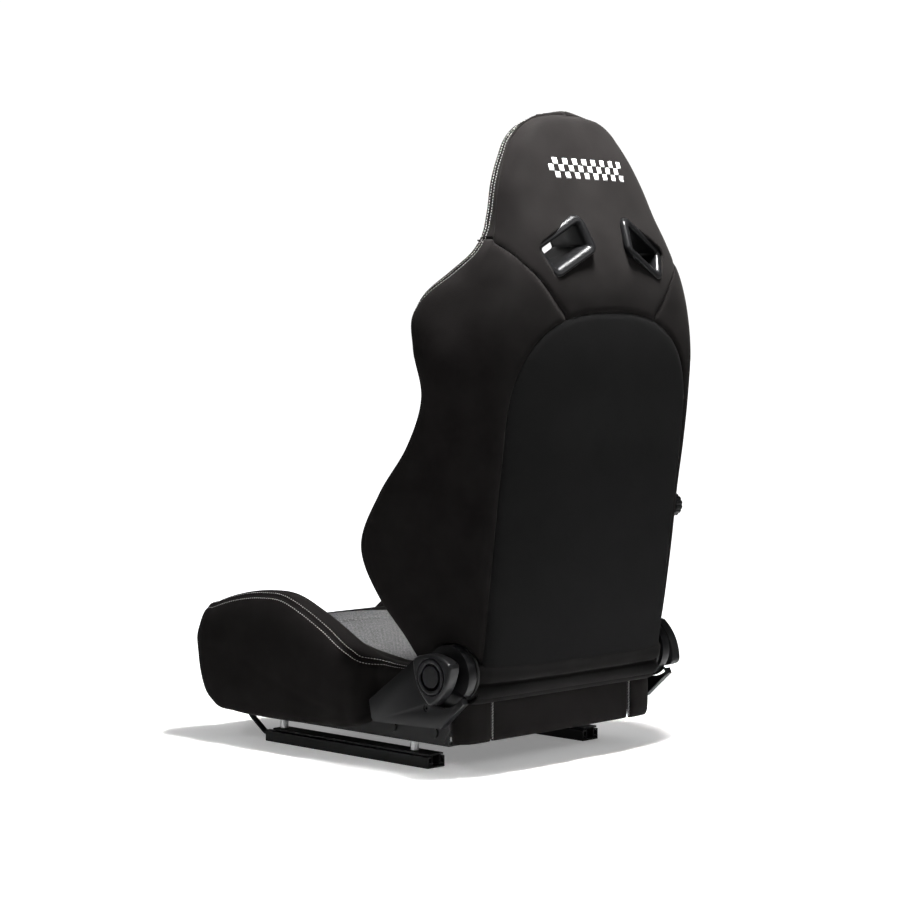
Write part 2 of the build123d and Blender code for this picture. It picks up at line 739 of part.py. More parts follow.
def back_springs():
    with BuildPart() as springs:
        for z, swing in ((240, 12), (490, 14), (550, 14), (610, 14)):
            y = hoop_y(z)
            reach = HOOP_X - HOOP_R - 0.2
            start, end = Vector(-reach, y, z), Vector(reach, y, z)
            with BuildLine() as wire:
                FilletPolyline(*zigzag(start, end, Vector(0, 0, swing), 9), radius=5.5)
            with BuildSketch(Plane(origin=start, z_dir=wire.line % 0)):
                Circle(1.6)
            sweep(path=wire.line)
    return springs


def back_insert():
    with BuildPart() as insert:
        for row in LOWER_ROWS:
            x, y = outline_point(row, INSERT_EDGE_U)
            x -= SOFT_GAP
            depth = PAD_DEPTH if row[0] > 180 else LOW_PAD_DEPTH
            with BuildSketch(Plane.XY.offset(row[0])):
                with BuildLine():
                    Polyline((-x, y), (x, y), (x, y + depth), (-x, y + depth), close=True)
                make_face()
        loft(ruled=True)
        with Locations((0, PLATE_Y - LUMBAR_TRAVEL - 3 + 20, 370)):
            Box(196, 40, 158, mode=Mode.SUBTRACT)
    return insert


def back_wing():
    """Side of the backrest: rear corner, flank and wing tip, hollow behind for the frame."""
    with BuildPart() as wing:
        for row in LOWER_ROWS:
            skin = outline_run(row, REAR_CORNER_U, INSERT_EDGE_U, 13)
            (corner_x, _), (edge_x, edge_y) = skin[0], skin[-1]
            depth = PAD_DEPTH if row[0] > 180 else LOW_PAD_DEPTH
            with BuildSketch(Plane.XY.offset(row[0])):
                with BuildLine():
                    Polyline(*skin, (edge_x, edge_y + depth), (corner_x, edge_y + depth), close=True)
                make_face()
        loft(ruled=True)
        with BuildSketch(yz_plane(BACK_ARM_X - 1)):
            with Locations((HINGE_Y, HINGE_Z)):
                Circle(HINGE_CLEARANCE_R)
        extrude(amount=100, mode=Mode.SUBTRACT)
        with BuildSketch(yz_plane(BACK_ARM_X - 1)):
            with Locations((HINGE_Y, HINGE_Z)):
                Circle(ARM_POCKET_R)
        extrude(amount=ARM_THICKNESS + 2, mode=Mode.SUBTRACT)
    return wing


def cut_lumbar_bore(wing):
    """Open the right wing for the lumbar adjuster's shaft."""
    with BuildPart() as bored:
        add(wing)
        with BuildSketch(yz_plane(-300)):
            with Locations((LUMBAR_Y, LUMBAR_Z)):
                Circle(5.5)
        extrude(amount=200, mode=Mode.SUBTRACT)
    return bored


def back_rear_panel():
    with BuildPart() as panel:
        for row in LOWER_ROWS:
            half = outline_run(row, 0, REAR_CORNER_U - 0.03, 4)
            rear = [(-x, y) for x, y in reversed(half[1:])] + half
            front = [(x, y - REAR_DEPTH) for x, y in rear]
            with BuildSketch(Plane.XY.offset(row[0])):
                with BuildLine():
                    Polyline(*rear, *reversed(front), close=True)
                make_face()
        loft(ruled=True)
    return panel


def rim_points():
    return [(x, z) for x, _, z in HARNESS_RIM]


def head_section():
    with BuildPart() as head:
        for row in HEAD_ROWS:
            half = outline_run(row, 0, 14, 17)
            around = half[:-1] + [(-x, y) for x, y in reversed(half[1:])]
            with BuildSketch(Plane.XY.offset(row[0])):
                with BuildLine():
                    Polyline(*around, close=True)
                make_face()
        loft(ruled=True)
        for side in (1, -1):
            with BuildSketch(Plane(origin=(0, 500, 0), x_dir=(1, 0, 0), z_dir=(0, -1, 0))):
                rounded_quad([(side * x, z) for x, z in rim_points()], RIM_CORNER_R, -0.4)
            extrude(amount=500, mode=Mode.SUBTRACT)
        foot, top = Vector(0, 344, 683), Vector(0, 278, 890)
        lean = Plane(origin=foot, x_dir=(1, 0, 0), z_dir=top - foot)
        with BuildSketch(lean):
            RectangleRounded(46, 14, 6.5)
        extrude(amount=(top - foot).length + 8, mode=Mode.SUBTRACT)
    return head


def rim_plane():
    """Plane through the rim's corners, facing out of the rear surface."""
    a, b, c, _ = [Vector(*p) for p in HARNESS_RIM]
    normal = (b - a).cross(c - b)
    normal = normal if normal.Y > 0 else normal * -1
    centre = sum([Vector(*p) for p in HARNESS_RIM], Vector()) / 4
    return Plane(origin=centre, z_dir=normal)


def bezel(face, outward, inward, tunnel_end):
    """Rim around the left harness hole, between two planes along the face's normal.

    With a tunnel_end plane, a thin sleeve runs on from the rim through the head section.
    """
    section = Plane(origin=(0, 420, 0), x_dir=(1, 0, 0), z_dir=(0, -1, 0))
    top = face.offset(outward)
    bottom = face.offset(-inward)
    with BuildPart() as rim:
        with BuildSketch(section):
            rounded_quad(rim_points(), RIM_CORNER_R)
        extrude(amount=260)
        split(bisect_by=top, keep=Keep.BOTTOM)
        split(bisect_by=bottom, keep=Keep.TOP)
        if tunnel_end is not None:
            with BuildPart(mode=Mode.PRIVATE) as sleeve:
                with BuildSketch(section):
                    rounded_quad(rim_points(), 6.0, RIM_WIDTH - TUNNEL_WALL)
                extrude(amount=260)
                split(bisect_by=bottom.offset(0.5), keep=Keep.BOTTOM)
                split(bisect_by=tunnel_end, keep=Keep.BOTTOM)
            add(sleeve.part)
        with BuildSketch(section):
            rounded_quad(rim_points(), 4.5, RIM_WIDTH)
        extrude(amount=260, mode=Mode.SUBTRACT)
    return rim


def rear_gusset():
    """Fabric between the backrest's rear panel and the top of the rear skirt."""
    with BuildPart() as gusset:
        with BuildSketch(yz_plane(-178)):
            with BuildLine():
                Polyline((301, 159), (304, 159), (292, 128), (275.5, 112.6), (272.5, 112.6),
                         (289, 130), close=True)
            make_face()
        extrude(amount=356)
    return gusset


# ---- lumbar adjuster ------------------------------------------------------------------------
CAM_X = (-60.0, 60.0)
CAM_LOW = 6.0
CROSSBAR_END = 162.5
PLATE_Y = LUMBAR_Y - CAM_LOW - 1.4


def lumbar_plate():
    with BuildPart() as plate:
        with BuildSketch(Plane.XZ.offset(-PLATE_Y)):
            with Locations((0, 370)):
                RectangleRounded(180, 140, 18)
        extrude(amount=2.0)
        for z in (325, 415):
            with BuildSketch(Plane.XZ.offset(-PLATE_Y)):
                with Locations((0, z)):
                    SlotOverall(120, 16)
            extrude(amount=2.0, mode=Mode.SUBTRACT)
    return plate


def lumbar_shaft():
    with BuildPart() as shaft:
        with BuildSketch(yz_plane(-233)):
            with Locations((LUMBAR_Y, LUMBAR_Z)):
                Circle(4.0)
        extrude(amount=233 + 100)
    return shaft


def lumbar_cams():
    """Spiral cams whose radius grows by the plate's travel over half a turn."""
    steps = 12
    with BuildPart() as cams:
        for x in CAM_X:
            with BuildSketch(yz_plane(x - 5)):
                with BuildLine():
                    points = []
                    for n in range(steps + 1):
                        turn = pi * n / steps
                        radius = CAM_LOW + LUMBAR_TRAVEL * n / steps
                        points.append((LUMBAR_Y - radius * cos(turn), LUMBAR_Z - radius * sin(turn)))
                    lobe = Spline(*points)
                    back = Spline(lobe @ 1, (LUMBAR_Y + 8, LUMBAR_Z + 13),
                                  (LUMBAR_Y - 3.5, LUMBAR_Z + 5.6), lobe @ 0)
                make_face()
                with Locations((LUMBAR_Y, LUMBAR_Z)):
                    Circle(4.0, mode=Mode.SUBTRACT)
            extrude(amount=10)
    return cams


def lumbar_knob():
    lobes = 14
    with BuildPart() as knob:
        with BuildSketch(yz_plane(-237)):
            with Locations((LUMBAR_Y, LUMBAR_Z)):
                Circle(18.0)
                with PolarLocations(19.3, lobes):
                    Circle(2.4, mode=Mode.SUBTRACT)
        extrude(amount=14)
        fillet(knob.faces().sort_by(Axis.X)[0].edges(), 1.0)
        with BuildSketch(yz_plane(-223)):
            with Locations((LUMBAR_Y, LUMBAR_Z)):
                Circle(9.0)
        extrude(amount=3)
        with BuildSketch(yz_plane(-233)):
            with Locations((LUMBAR_Y, LUMBAR_Z)):
                Circle(4.0)
        extrude(amount=20, mode=Mode.SUBTRACT)
    return knob


def lumbar_crossbar():
    """Flat bar behind the shaft with two tabs that carry it."""
    with BuildPart() as bar:
        with Locations((0, 316, LUMBAR_Z)):
            Box(2 * CROSSBAR_END, 3, 30)
        with BuildSketch(Plane.XY.offset(LUMBAR_Z - 9)):
            for x in (-130, 88):
                with Locations((x, 299.0)):
                    Rectangle(3, 33)
            for x in (-CROSSBAR_END + 1.5, CROSSBAR_END - 1.5):
                with Locations((x, 308)):
                    Rectangle(3, 14)
        extrude(amount=18)
        with BuildSketch(yz_plane(-170)):
            with Locations((LUMBAR_Y, LUMBAR_Z)):
                Circle(4.06)
        extrude(amount=340, mode=Mode.SUBTRACT)
    return bar


# ---- build and export -----------------------------------------------------------------------
save_pair(lower_rail(), "lower_rail")
save_pair(upper_rail(), "upper_rail")
save(rail_glides(), "rail_glides")
save(rail_stops(), "rail_stops")

save_pair(latch_lever(), "latch_lever")
save(latch_pins(), "latch_pins")
save(latch_springs(), "latch_springs")
save(towel_bar(), "towel_bar")

save(seat_spacers(), "seat_spacers")
save(seat_bolts(), "seat_bolts")
save(seat_nuts(), "seat_nuts")
save_pair(frame_side(), "frame_side")
save(cross_tube(-178, TUBE_Z, TUBE_R, RAIL_X + FRAME_WIDTH / 2 - FRAME_WALL), "front_cross_tube")
save(cross_tube(202, TUBE_Z, TUBE_R, RAIL_X + FRAME_WIDTH / 2 - FRAME_WALL), "rear_cross_tube")
save(seat_springs(), "seat_springs")
save(seat_cushion(), "seat_cushion")
save(thigh_roll(), "thigh_roll")
save_pair(thigh_bolster(), "thigh_bolster")
save(rear_skirt(), "rear_skirt")

save_pair(base_arm(), "base_arm")
save_pair(recliner_disc(), "recliner_disc")
save(arm_bolts(), "arm_bolts")
save_pair(side_cover(), "side_cover")
save(cover_screws(), "cover_screws")
save(recline_shaft(), "recline_shaft")
save(lobed_knob(27, 1), "recline_knob_left")
save(lobed_knob(87, -1), "recline_knob_right")
save(knob_caps(), "knob_caps")

save_pair(back_arm(), "back_arm")
save(back_hoop(), "back_hoop")
save(cross_tube(hoop_y(215), 215, 8.0, HOOP_X - HOOP_R - 0.3), "back_cross_tube")
save(head_frame(), "head_frame")
save(back_springs(), "back_springs")
save(back_insert(), "back_insert")
left_wing = back_wing()
save(left_wing, "back_wing_left")
save(cut_lumbar_bore(mirror(left_wing.part, about=Plane.YZ)), "back_wing_right")
save(back_rear_panel(), "back_rear_panel")
save(head_section(), "head_section")
save_pair(bezel(rim_plane(), 3.0, 7.0, HEAD_FRONT.offset(-6)), "harness_bezel_rear")
save_pair(bezel(HEAD_FRONT, 2.0, 5.5, None), "harness_bezel_front")
save(rear_gusset(), "rear_gusset")

save(lumbar_plate(), "lumbar_plate")
save(lumbar_shaft(), "lumbar_shaft")
save(lumbar_cams(), "lumbar_cams")
save(lumbar_knob(), "lumbar_knob")
save(lumbar_crossbar(), "lumbar_crossbar")
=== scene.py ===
"""Looks of a reclining sports seat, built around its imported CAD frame.

Shape tables are in millimetres in the part's frame: the seat faces -Y, its left side is +X.
"""
import math

import bmesh
import bpy
import numpy as np
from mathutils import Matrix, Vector
from mathutils.bvhtree import BVHTree
from mathutils.kdtree import KDTree


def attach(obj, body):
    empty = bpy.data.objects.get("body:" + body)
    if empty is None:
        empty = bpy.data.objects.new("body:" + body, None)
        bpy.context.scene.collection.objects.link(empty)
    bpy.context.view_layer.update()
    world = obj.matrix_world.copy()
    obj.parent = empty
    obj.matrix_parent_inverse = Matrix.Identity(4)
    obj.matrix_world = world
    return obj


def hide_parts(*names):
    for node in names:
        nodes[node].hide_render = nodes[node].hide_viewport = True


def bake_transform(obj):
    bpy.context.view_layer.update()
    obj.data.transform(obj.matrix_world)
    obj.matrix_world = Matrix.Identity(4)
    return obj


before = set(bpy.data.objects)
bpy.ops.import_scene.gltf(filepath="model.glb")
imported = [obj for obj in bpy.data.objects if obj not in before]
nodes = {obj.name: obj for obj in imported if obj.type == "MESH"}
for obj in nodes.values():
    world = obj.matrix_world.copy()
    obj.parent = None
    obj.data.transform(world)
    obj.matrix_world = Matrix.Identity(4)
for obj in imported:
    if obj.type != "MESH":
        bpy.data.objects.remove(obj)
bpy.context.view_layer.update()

MM = 0.001
SIDES = ((1, "left"), (-1, "right"))
HINGE = (251.0, 148.0)          # y and z of the recline axis
INSERT_EDGE_U = 12.0            # where the front bolster meets the woven insert
FRONT_MIDDLE_U = 14.0           # where the outline ends, at the front middle
BACK_BOTTOM = 150.0
INSERT_TOP = 690.0              # the back insert ends here, and the harness holes lie above it
ARCH_TOP = 661.0                # just over the rear panel's arch
NECK_BASE = 600.0               # the head's cover and the wings' meet above this
STITCH_BASE = 615.0             # the wings' edge seam shows its stitches above this
CROWN_START = 940.0             # above this the crown closes as part of an ellipse
CROWN_ANGLE = math.asin(40 / 48)
CROWN_BASE, CROWN_RISE = 900.0, 48.0

# The backrest by height: height, rear surface at the middle, half width at the rear corner,
# how far that corner lies forward, half width and depth of the wing tip, the tip's rounding,
# half width and depth of the centre insert.
BACK_ROWS = [
    (150, 309, 196, 10, 206, 186, 15, 150, 214), (190, 313, 203, 12, 220, 166, 16, 152, 222),
    (250, 319, 210, 14, 236, 123, 18, 152, 236), (320, 328, 213, 15, 243, 93, 19, 152, 240),
    (400, 339, 213, 16, 244, 132, 19, 152, 248), (470, 349, 216, 17, 241, 186, 18, 153, 260),
    (540, 357, 218, 18, 240, 214, 18, 156, 270), (610, 365, 214, 19, 242, 199, 20, 158, 278),
    (660, 368, 205, 21, 233, 191, 20, 152, 282), (690, 369, 197, 23, 221, 205, 19, 144, 283),
    (720, 366, 189, 25, 200, 235, 17, 130, 283), (745, 360, 180, 26, 185, 260, 15, 118, 280),
    (770, 352, 170, 24, 165, 261, 14, 108, 272), (800, 340, 159, 22, 148, 254, 14, 98, 262),
    (850, 324, 140, 18, 127, 243, 14, 84, 246), (888, 312, 119, 15, 108, 239, 14, 68, 240),
    (910, 304, 103, 13, 95, 238, 13, 58, 239), (926, 298, 87, 10, 81, 241, 12, 46, 243),
    (935, 294, 73, 8, 69, 245, 10, 37, 246), (940, 291, 62, 7, 59, 248, 9, 30, 250),
]
# Side of the cushion by depth: y, outermost half width, bottom, crest, insert height.
BOLSTER_ROWS = [
    (-287, 232, 122, 184, 170), (-272, 241, 84, 205, 176), (-243, 247, 57, 216, 177),
    (-200, 250, 51, 229, 174), (-130, 250, 49, 240, 168), (-85, 250, 49, 239, 164),
    (-35, 250, 50, 221, 160), (8, 249, 52, 199, 156), (60, 247, 57, 168, 151),
    (82, 240, 68, 157, 149), (97, 214, 100, 151, 147), (115, 212, 104, 149, 146),
    (174, 213, 128, 147, 140),
]
# Seam between the head's cover and the wing's: place round the outline, height.
NECK_SEAM = [(1.08, 647), (1.15, 658), (1.45, 678), (1.7, 694), (2.1, 714), (2.9, 738), (3.9, 755),
             (5.2, 763), (6.6, 765), (7.6, 763), (9.0, 752), (10.6, 725), (12.0, 690)]
ARCH_HALF, ARCH_BASE, ARCH_RISE, ARCH_POWER = 195.0, 480.0, 180.0, 2.6
HARNESS_RIM = [(46, 339, 807), (34, 365, 748), (116, 359, 704), (143, 340, 754)]
FRONT_RIM = [(26, 807), (14, 748), (112, 704), (141, 754)]   # wider towards the middle
RIM_NORMAL = (0.252, 0.903, 0.347)
FRONT_POINT, FRONT_NORMAL = (88, 274, 758), (0.0, -0.951, -0.310)
RIM_WIDTH, RIM_CORNER_R = 13.0, 15.0
HINGE_CUT_R = 44.0              # round cut in the wings, about the recline axis
HINGE_CUT_FROM = 170.0          # and only further out than this
COVER_THICKNESS = 4.0           # upholstery cover
SEAM_DEPTH, SEAM_WIDTH = 2.2, 4.2


# ---- camera, light and floor ----------------------------------------------------------------
def new_object(name, data):
    made = bpy.data.objects.new(name, data)
    bpy.context.scene.collection.objects.link(made)
    return made


def aim(thing, place, target):
    thing.location = place
    way = Vector(target) - thing.location
    thing.rotation_euler = way.to_track_quat("-Z", "Y").to_euler()


def add_node(tree, kind, inputs=None, **settings):
    """New shader node. Its inputs are given by name or number, as values or sockets to link."""
    node = tree.nodes.new("ShaderNode" + kind)
    for name, value in settings.items():
        setattr(node, name, value)
    for key, value in (inputs or {}).items():
        if isinstance(value, bpy.types.NodeSocket):
            tree.links.new(value, node.inputs[key])
        else:
            node.inputs[key].default_value = value
    return node


def build_stage():
    scene = bpy.context.scene
    scene.view_settings.view_transform = "Standard"
    camera = new_object("camera", bpy.data.cameras.new("camera"))
    aim(camera, (2.681, 2.666, 0.632), (0.0, 0.039, 0.4518))
    camera.data.sensor_width = 36.0
    camera.data.lens = 98.0
    camera.data.clip_end = 100.0
    scene.camera = camera

    world = bpy.data.worlds.new("studio")
    scene.world = world
    world.use_nodes = True
    tree = world.node_tree
    white = (1, 1, 1, 1)
    ambient = tree.nodes["Background"]
    ambient.inputs["Color"].default_value = white
    ambient.inputs["Strength"].default_value = 0.05
    seen = add_node(tree, "Background", {"Color": white, "Strength": 1.05})
    path = add_node(tree, "LightPath")
    choose = add_node(tree, "MixShader", {"Fac": path.outputs["Is Camera Ray"],
                                          1: ambient.outputs["Background"],
                                          2: seen.outputs["Background"]})
    tree.links.new(choose.outputs["Shader"], tree.nodes["World Output"].inputs["Surface"])

    lights = [   # name, place, target, size, watts, spread in degrees
        ("overhead", (0.1, 0.9, 3.2), (0.0, 0.1, 0.0), 3.2, 25.0, 180.0),
        ("head_light", (0.10, 0.50, 1.75), (0.0, 0.32, 0.85), 0.30, 12.0, 48.0),
        ("rear_strip", (-1.0, 2.9, 1.7), (0.0, 0.25, 0.4), 0.45, 7.0, 100.0),
        ("side_strip", (2.8, 0.6, 2.1), (0.2, 0.15, 0.2), 0.45, 2.8, 60.0),
        ("front_fill", (-1.0, -2.8, 2.2), (0.0, 0.0, 0.4), 1.2, 5.0, 120.0),
    ]
    for name, place, target, size, power, spread in lights:
        lamp = new_object(name, bpy.data.lights.new(name, "AREA"))
        aim(lamp, place, target)
        lamp.data.size = size
        lamp.data.energy = power
        lamp.data.spread = math.radians(spread)
        lamp.visible_camera = False

    floor = bpy.data.meshes.new("floor")
    reach = 40.0
    floor.from_pydata([(-reach, -reach, 0), (reach, -reach, 0), (reach, reach, 0),
                       (-reach, reach, 0)], [], [(0, 1, 2, 3)])
    floor.materials.append(floor_white())
    new_object("floor", floor)


def floor_white():
    """White matt sweep that also glows: weakly near the seat, where the glow lightens the soft
    shadow it takes, and fully further off, so that the glow paints the floor darker round the seat.
    """
    s = Shader("floor_white", 1.0, Base_Color=(0.93, 0.93, 0.93, 1), Specular_IOR_Level=0.0,
               Emission_Color=(1, 1, 1, 1))
    away = add_node(s.tree, "VectorMath", {0: s.place}, operation="LENGTH")
    # painted light: a glow that grows with distance from the seat, weak within its shadow and full
    # beyond about a metre
    glow = add_node(s.tree, "MapRange", {"Value": away.outputs["Value"], "From Min": 0.46,
                                         "From Max": 0.95, "To Min": 0.24, "To Max": 1.25},
                    interpolation_type="SMOOTHSTEP")
    # weaker in reflections, so that black parts stay black
    glossy = add_node(s.tree, "LightPath").outputs["Is Glossy Ray"]
    dim = s.maths("SUBTRACT", 1.0, s.maths("MULTIPLY", glossy, 0.7))
    s.link(s.maths("MULTIPLY", glow.outputs["Result"], dim), s.surface.inputs["Emission Strength"])
    return s.material


# ---- materials ------------------------------------------------------------------------------
class Shader:
    """A Principled material with a few node helpers, in object coordinates (metres)."""

    def __init__(self, name, roughness, **sockets):
        self.material = bpy.data.materials.new(name)
        self.material.use_nodes = True
        self.tree = self.material.node_tree
        self.surface = self.tree.nodes["Principled BSDF"]
        self.surface.inputs["Roughness"].default_value = roughness
        for socket, value in sockets.items():
            self.surface.inputs[socket.replace("_", " ")].default_value = value
        self.place = add_node(self.tree, "TexCoord").outputs["Object"]

    def link(self, a, b):
        self.tree.links.new(a, b)

    def noise(self, scale, detail=2.0, roughness=0.5, stretch=None):
        inputs = {"Vector": self.stretched(stretch), "Scale": scale, "Detail": detail,
                  "Roughness": roughness}
        return add_node(self.tree, "TexNoise", inputs).outputs["Fac"]

    def stretched(self, stretch, turn=(0, 0, 0)):
        if stretch is None and turn == (0, 0, 0):
            return self.place
        inputs = {"Vector": self.place, "Scale": stretch or (1, 1, 1), "Rotation": turn}
        return add_node(self.tree, "Mapping", inputs).outputs["Vector"]

    def wave(self, scale, direction, distortion=0.0, turn=(0, 0, 0)):
        inputs = {"Vector": self.stretched(None, turn), "Scale": scale, "Distortion": distortion,
                  "Detail": 1.0, "Detail Scale": 2.0}
        return add_node(self.tree, "TexWave", inputs, bands_direction=direction).outputs["Fac"]

    def maths(self, operation, a, b):
        return add_node(self.tree, "Math", {0: a, 1: b}, operation=operation).outputs["Value"]

    def ramp(self, factor, stops):
        node = self.tree.nodes.new("ShaderNodeValToRGB")
        elements = node.color_ramp.elements
        while len(elements) < len(stops):
            elements.new(0.5)
        for element, (position, colour) in zip(elements, stops):
            element.position = position
            element.color = (*colour, 1)
        self.link(factor, node.inputs["Fac"])
        return node.outputs["Color"]

    def colour(self, factor, stops):
        self.link(self.ramp(factor, stops), self.surface.inputs["Base Color"])

    def rough(self, factor, low, high):
        node = add_node(self.tree, "MapRange", {"Value": factor, "To Min": low, "To Max": high})
        self.link(node.outputs["Result"], self.surface.inputs["Roughness"])

    def bump(self, height, strength, distance):
        node = add_node(self.tree, "Bump", {"Height": height, "Strength": strength,
                                            "Distance": distance})
        self.link(node.outputs["Normal"], self.surface.inputs["Normal"])


def suede(name, dark, light, sheen):
    """Napped microfibre: brushed cloudy tone, short fibre grain and a soft sheen."""
    s = Shader(name, 0.95, Sheen_Weight=sheen, Sheen_Roughness=0.42, Sheen_Tint=(1, 0.93, 0.89, 1),
               Specular_IOR_Level=0.04)
    clouds = s.noise(16.0, 3.0, 0.6)
    fibres = s.noise(900.0, 2.0)
    tone = s.maths("ADD", s.maths("MULTIPLY", clouds, 0.75), s.maths("MULTIPLY", fibres, 0.25))
    s.colour(tone, [(0.32, dark), (0.68, light)])
    nap = s.maths("ADD", s.maths("MULTIPLY", s.noise(260.0, 3.0), 0.6), fibres)
    s.bump(nap, 0.35, 0.0006)
    return s.material


def knit(name, dark, light):
    """Fine warp knit: small diagonal ribs."""
    s = Shader(name, 0.9, Sheen_Weight=0.01, Sheen_Roughness=0.5, Specular_IOR_Level=0.05)
    turn = (0, 0.6, 0)
    ribs = s.maths("MULTIPLY", s.wave(230.0, "X", 0.6, turn), s.wave(230.0, "Z", 0.6, turn))
    clouds = s.noise(22.0, 3.0)
    s.colour(s.maths("ADD", s.maths("MULTIPLY", ribs, 0.5), s.maths("MULTIPLY", clouds, 0.5)),
             [(0.2, dark), (0.7, light)])
    s.bump(ribs, 0.45, 0.0005)
    return s.material


def weave(name, across, along):
    """Coarse basket weave of charcoal and grey yarns, two directions in the plane given."""
    s = Shader(name, 0.88, Sheen_Weight=0.03, Sheen_Roughness=0.5, Specular_IOR_Level=0.1)
    warp, weft = s.wave(105.0, across, 0.8), s.wave(105.0, along, 0.8)
    cross = s.maths("MULTIPLY", warp, weft)
    speckle = s.noise(330.0, 1.0)
    tone = s.maths("ADD", s.maths("MULTIPLY", cross, 0.5), s.maths("MULTIPLY", speckle, 0.6))
    s.colour(tone, [(0.25, (0.008, 0.008, 0.008)), (0.5, (0.045, 0.045, 0.046)),
                    (0.74, (0.21, 0.21, 0.212))])
    s.bump(s.maths("ADD", warp, weft), 0.6, 0.0007)
    return s.material


def plastic(name, tone, roughness, grain=0.12):
    """Moulded plastic with a fine eroded grain and slightly uneven gloss."""
    s = Shader(name, roughness, Specular_IOR_Level=0.13)
    s.rough(s.noise(35.0, 2.0), roughness - 0.05, roughness + 0.08)
    s.colour(s.noise(60.0, 3.0), [(0.3, tone), (0.7, tuple(1.25 * c for c in tone))])
    s.bump(s.noise(1400.0, 2.0), grain, 0.0002)
    return s.material


def metal(name, dark, light, roughness, stretch=None, grain=0.08):
    """Bare or plated metal: streaky tone and uneven polish."""
    s = Shader(name, roughness, Metallic=1.0)
    streaks = s.noise(90.0, 3.0, 0.6, stretch)
    s.colour(streaks, [(0.3, dark), (0.7, light)])
    s.rough(s.noise(240.0, 2.0), roughness - 0.06, roughness + 0.1)
    s.bump(s.noise(700.0, 2.0, 0.5, stretch), grain, 0.0002)
    return s.material


def paint(name, tone, roughness):
    """Black powder coat, thinner and paler along edges."""
    s = Shader(name, roughness, Specular_IOR_Level=0.12)
    edge = add_node(s.tree, "NewGeometry").outputs["Pointiness"]
    worn = s.maths("ADD", edge, s.maths("MULTIPLY", s.noise(120.0, 3.0), 0.06))
    s.colour(worn, [(0.52, tone), (0.62, tuple(3.2 * c for c in tone))])
    s.rough(s.noise(80.0, 2.0), roughness - 0.05, roughness + 0.1)
    s.bump(s.noise(1100.0, 2.0), 0.1, 0.00025)
    return s.material


def thread(name, tone):
    """Twisted sewing thread."""
    s = Shader(name, 0.7, Sheen_Weight=0.3, Specular_IOR_Level=0.3)
    s.colour(s.noise(700.0, 1.0), [(0.3, tuple(0.7 * c for c in tone)), (0.7, tone)])
    s.bump(s.wave(900.0, "DIAGONAL"), 0.4, 0.0002)
    return s.material


SUEDE = suede("suede", (0.0030, 0.0026, 0.0025), (0.0062, 0.0056, 0.0054), 0.015)
SUEDE_DARK = suede("suede_dark", (0.0026, 0.0025, 0.0025), (0.0050, 0.0047, 0.0046), 0.01)
KNIT = knit("arch_knit", (0.0015, 0.0015, 0.0015), (0.0040, 0.0039, 0.0039))
WEAVE_BACK = weave("woven_back", "X", "Z")
WEAVE_SEAT = weave("woven_seat", "X", "Y")
PLASTIC = plastic("satin_plastic", (0.0030, 0.0030, 0.0032), 0.30)
KNOB_PLASTIC = plastic("knob_plastic", (0.005, 0.005, 0.0052), 0.30, 0.06)
NYLON = plastic("nylon", (0.55, 0.53, 0.48), 0.5)
RAIL_PAINT = paint("rail_black", (0.003, 0.003, 0.003), 0.42)
FRAME_PAINT = paint("frame_black", (0.004, 0.004, 0.004), 0.5)
BAR_PAINT = paint("bar_black", (0.005, 0.005, 0.005), 0.32)
ZINC = metal("zinc_steel", (0.50, 0.50, 0.51), (0.72, 0.72, 0.73), 0.30)
BRIGHT = metal("bright_steel", (0.58, 0.58, 0.58), (0.78, 0.78, 0.78), 0.22, (1, 1, 12))
PLATE = metal("plate_steel", (0.16, 0.16, 0.165), (0.28, 0.28, 0.285), 0.36)
WIRE = metal("spring_wire", (0.20, 0.20, 0.20), (0.34, 0.34, 0.34), 0.4)
THREAD = thread("stitch_thread", (0.30, 0.29, 0.28))
BAND_THREAD = thread("band_thread", (0.42, 0.42, 0.41))


# ---- mesh helpers ---------------------------------------------------------------------------
def mesh_object(name, points, faces, material):
    """Smooth mesh from points in millimetres."""
    mesh = bpy.data.meshes.new(name)
    mesh.from_pydata((np.asarray(points, float) * MM).tolist(), [],
                     [tuple(int(i) for i in f) for f in faces])
    mesh.validate()
    mesh.polygons.foreach_set("use_smooth", [True] * len(mesh.polygons))
    mesh.materials.append(material)
    mesh.update()
    return new_object(name, mesh)


def applied(piece):
    """Makes the piece's modifiers part of its mesh."""
    bpy.context.view_layer.update()
    result = bpy.data.meshes.new_from_object(
        piece.evaluated_get(bpy.context.evaluated_depsgraph_get()))
    piece.modifiers.clear()
    piece.data = result
    return piece


def thicken(piece, thickness):
    """Gives a sheet thickness on its inner side."""
    solid = piece.modifiers.new("thickness", "SOLIDIFY")
    solid.thickness = thickness * MM
    solid.offset = -1.0
    solid.use_even_offset = False
    return applied(piece)


def rows_at(rows, places):
    """Table rows interpolated smoothly along their first column."""
    table = np.array(rows, float)
    key, value = table[:, 0], table[:, 1:]
    places = np.clip(np.asarray(places, float), key[0], key[-1])
    step = np.diff(key)
    slope = np.diff(value, axis=0) / step[:, None]
    tangent = np.empty_like(value)
    tangent[0], tangent[-1] = slope[0], slope[-1]
    weight = step[:-1] + step[1:]
    tangent[1:-1] = (slope[:-1] * step[1:, None] + slope[1:] * step[:-1, None]) / weight[:, None]
    i = np.clip(np.searchsorted(key, places, side="right") - 1, 0, len(key) - 2)
    h = step[i][:, None]
    t = ((places - key[i]) / step[i])[:, None]
    return ((2 * t**3 - 3 * t**2 + 1) * value[i] + (t**3 - 2 * t**2 + t) * h * tangent[i]
            + (3 * t**2 - 2 * t**3) * value[i + 1] + (t**3 - t**2) * h * tangent[i + 1])


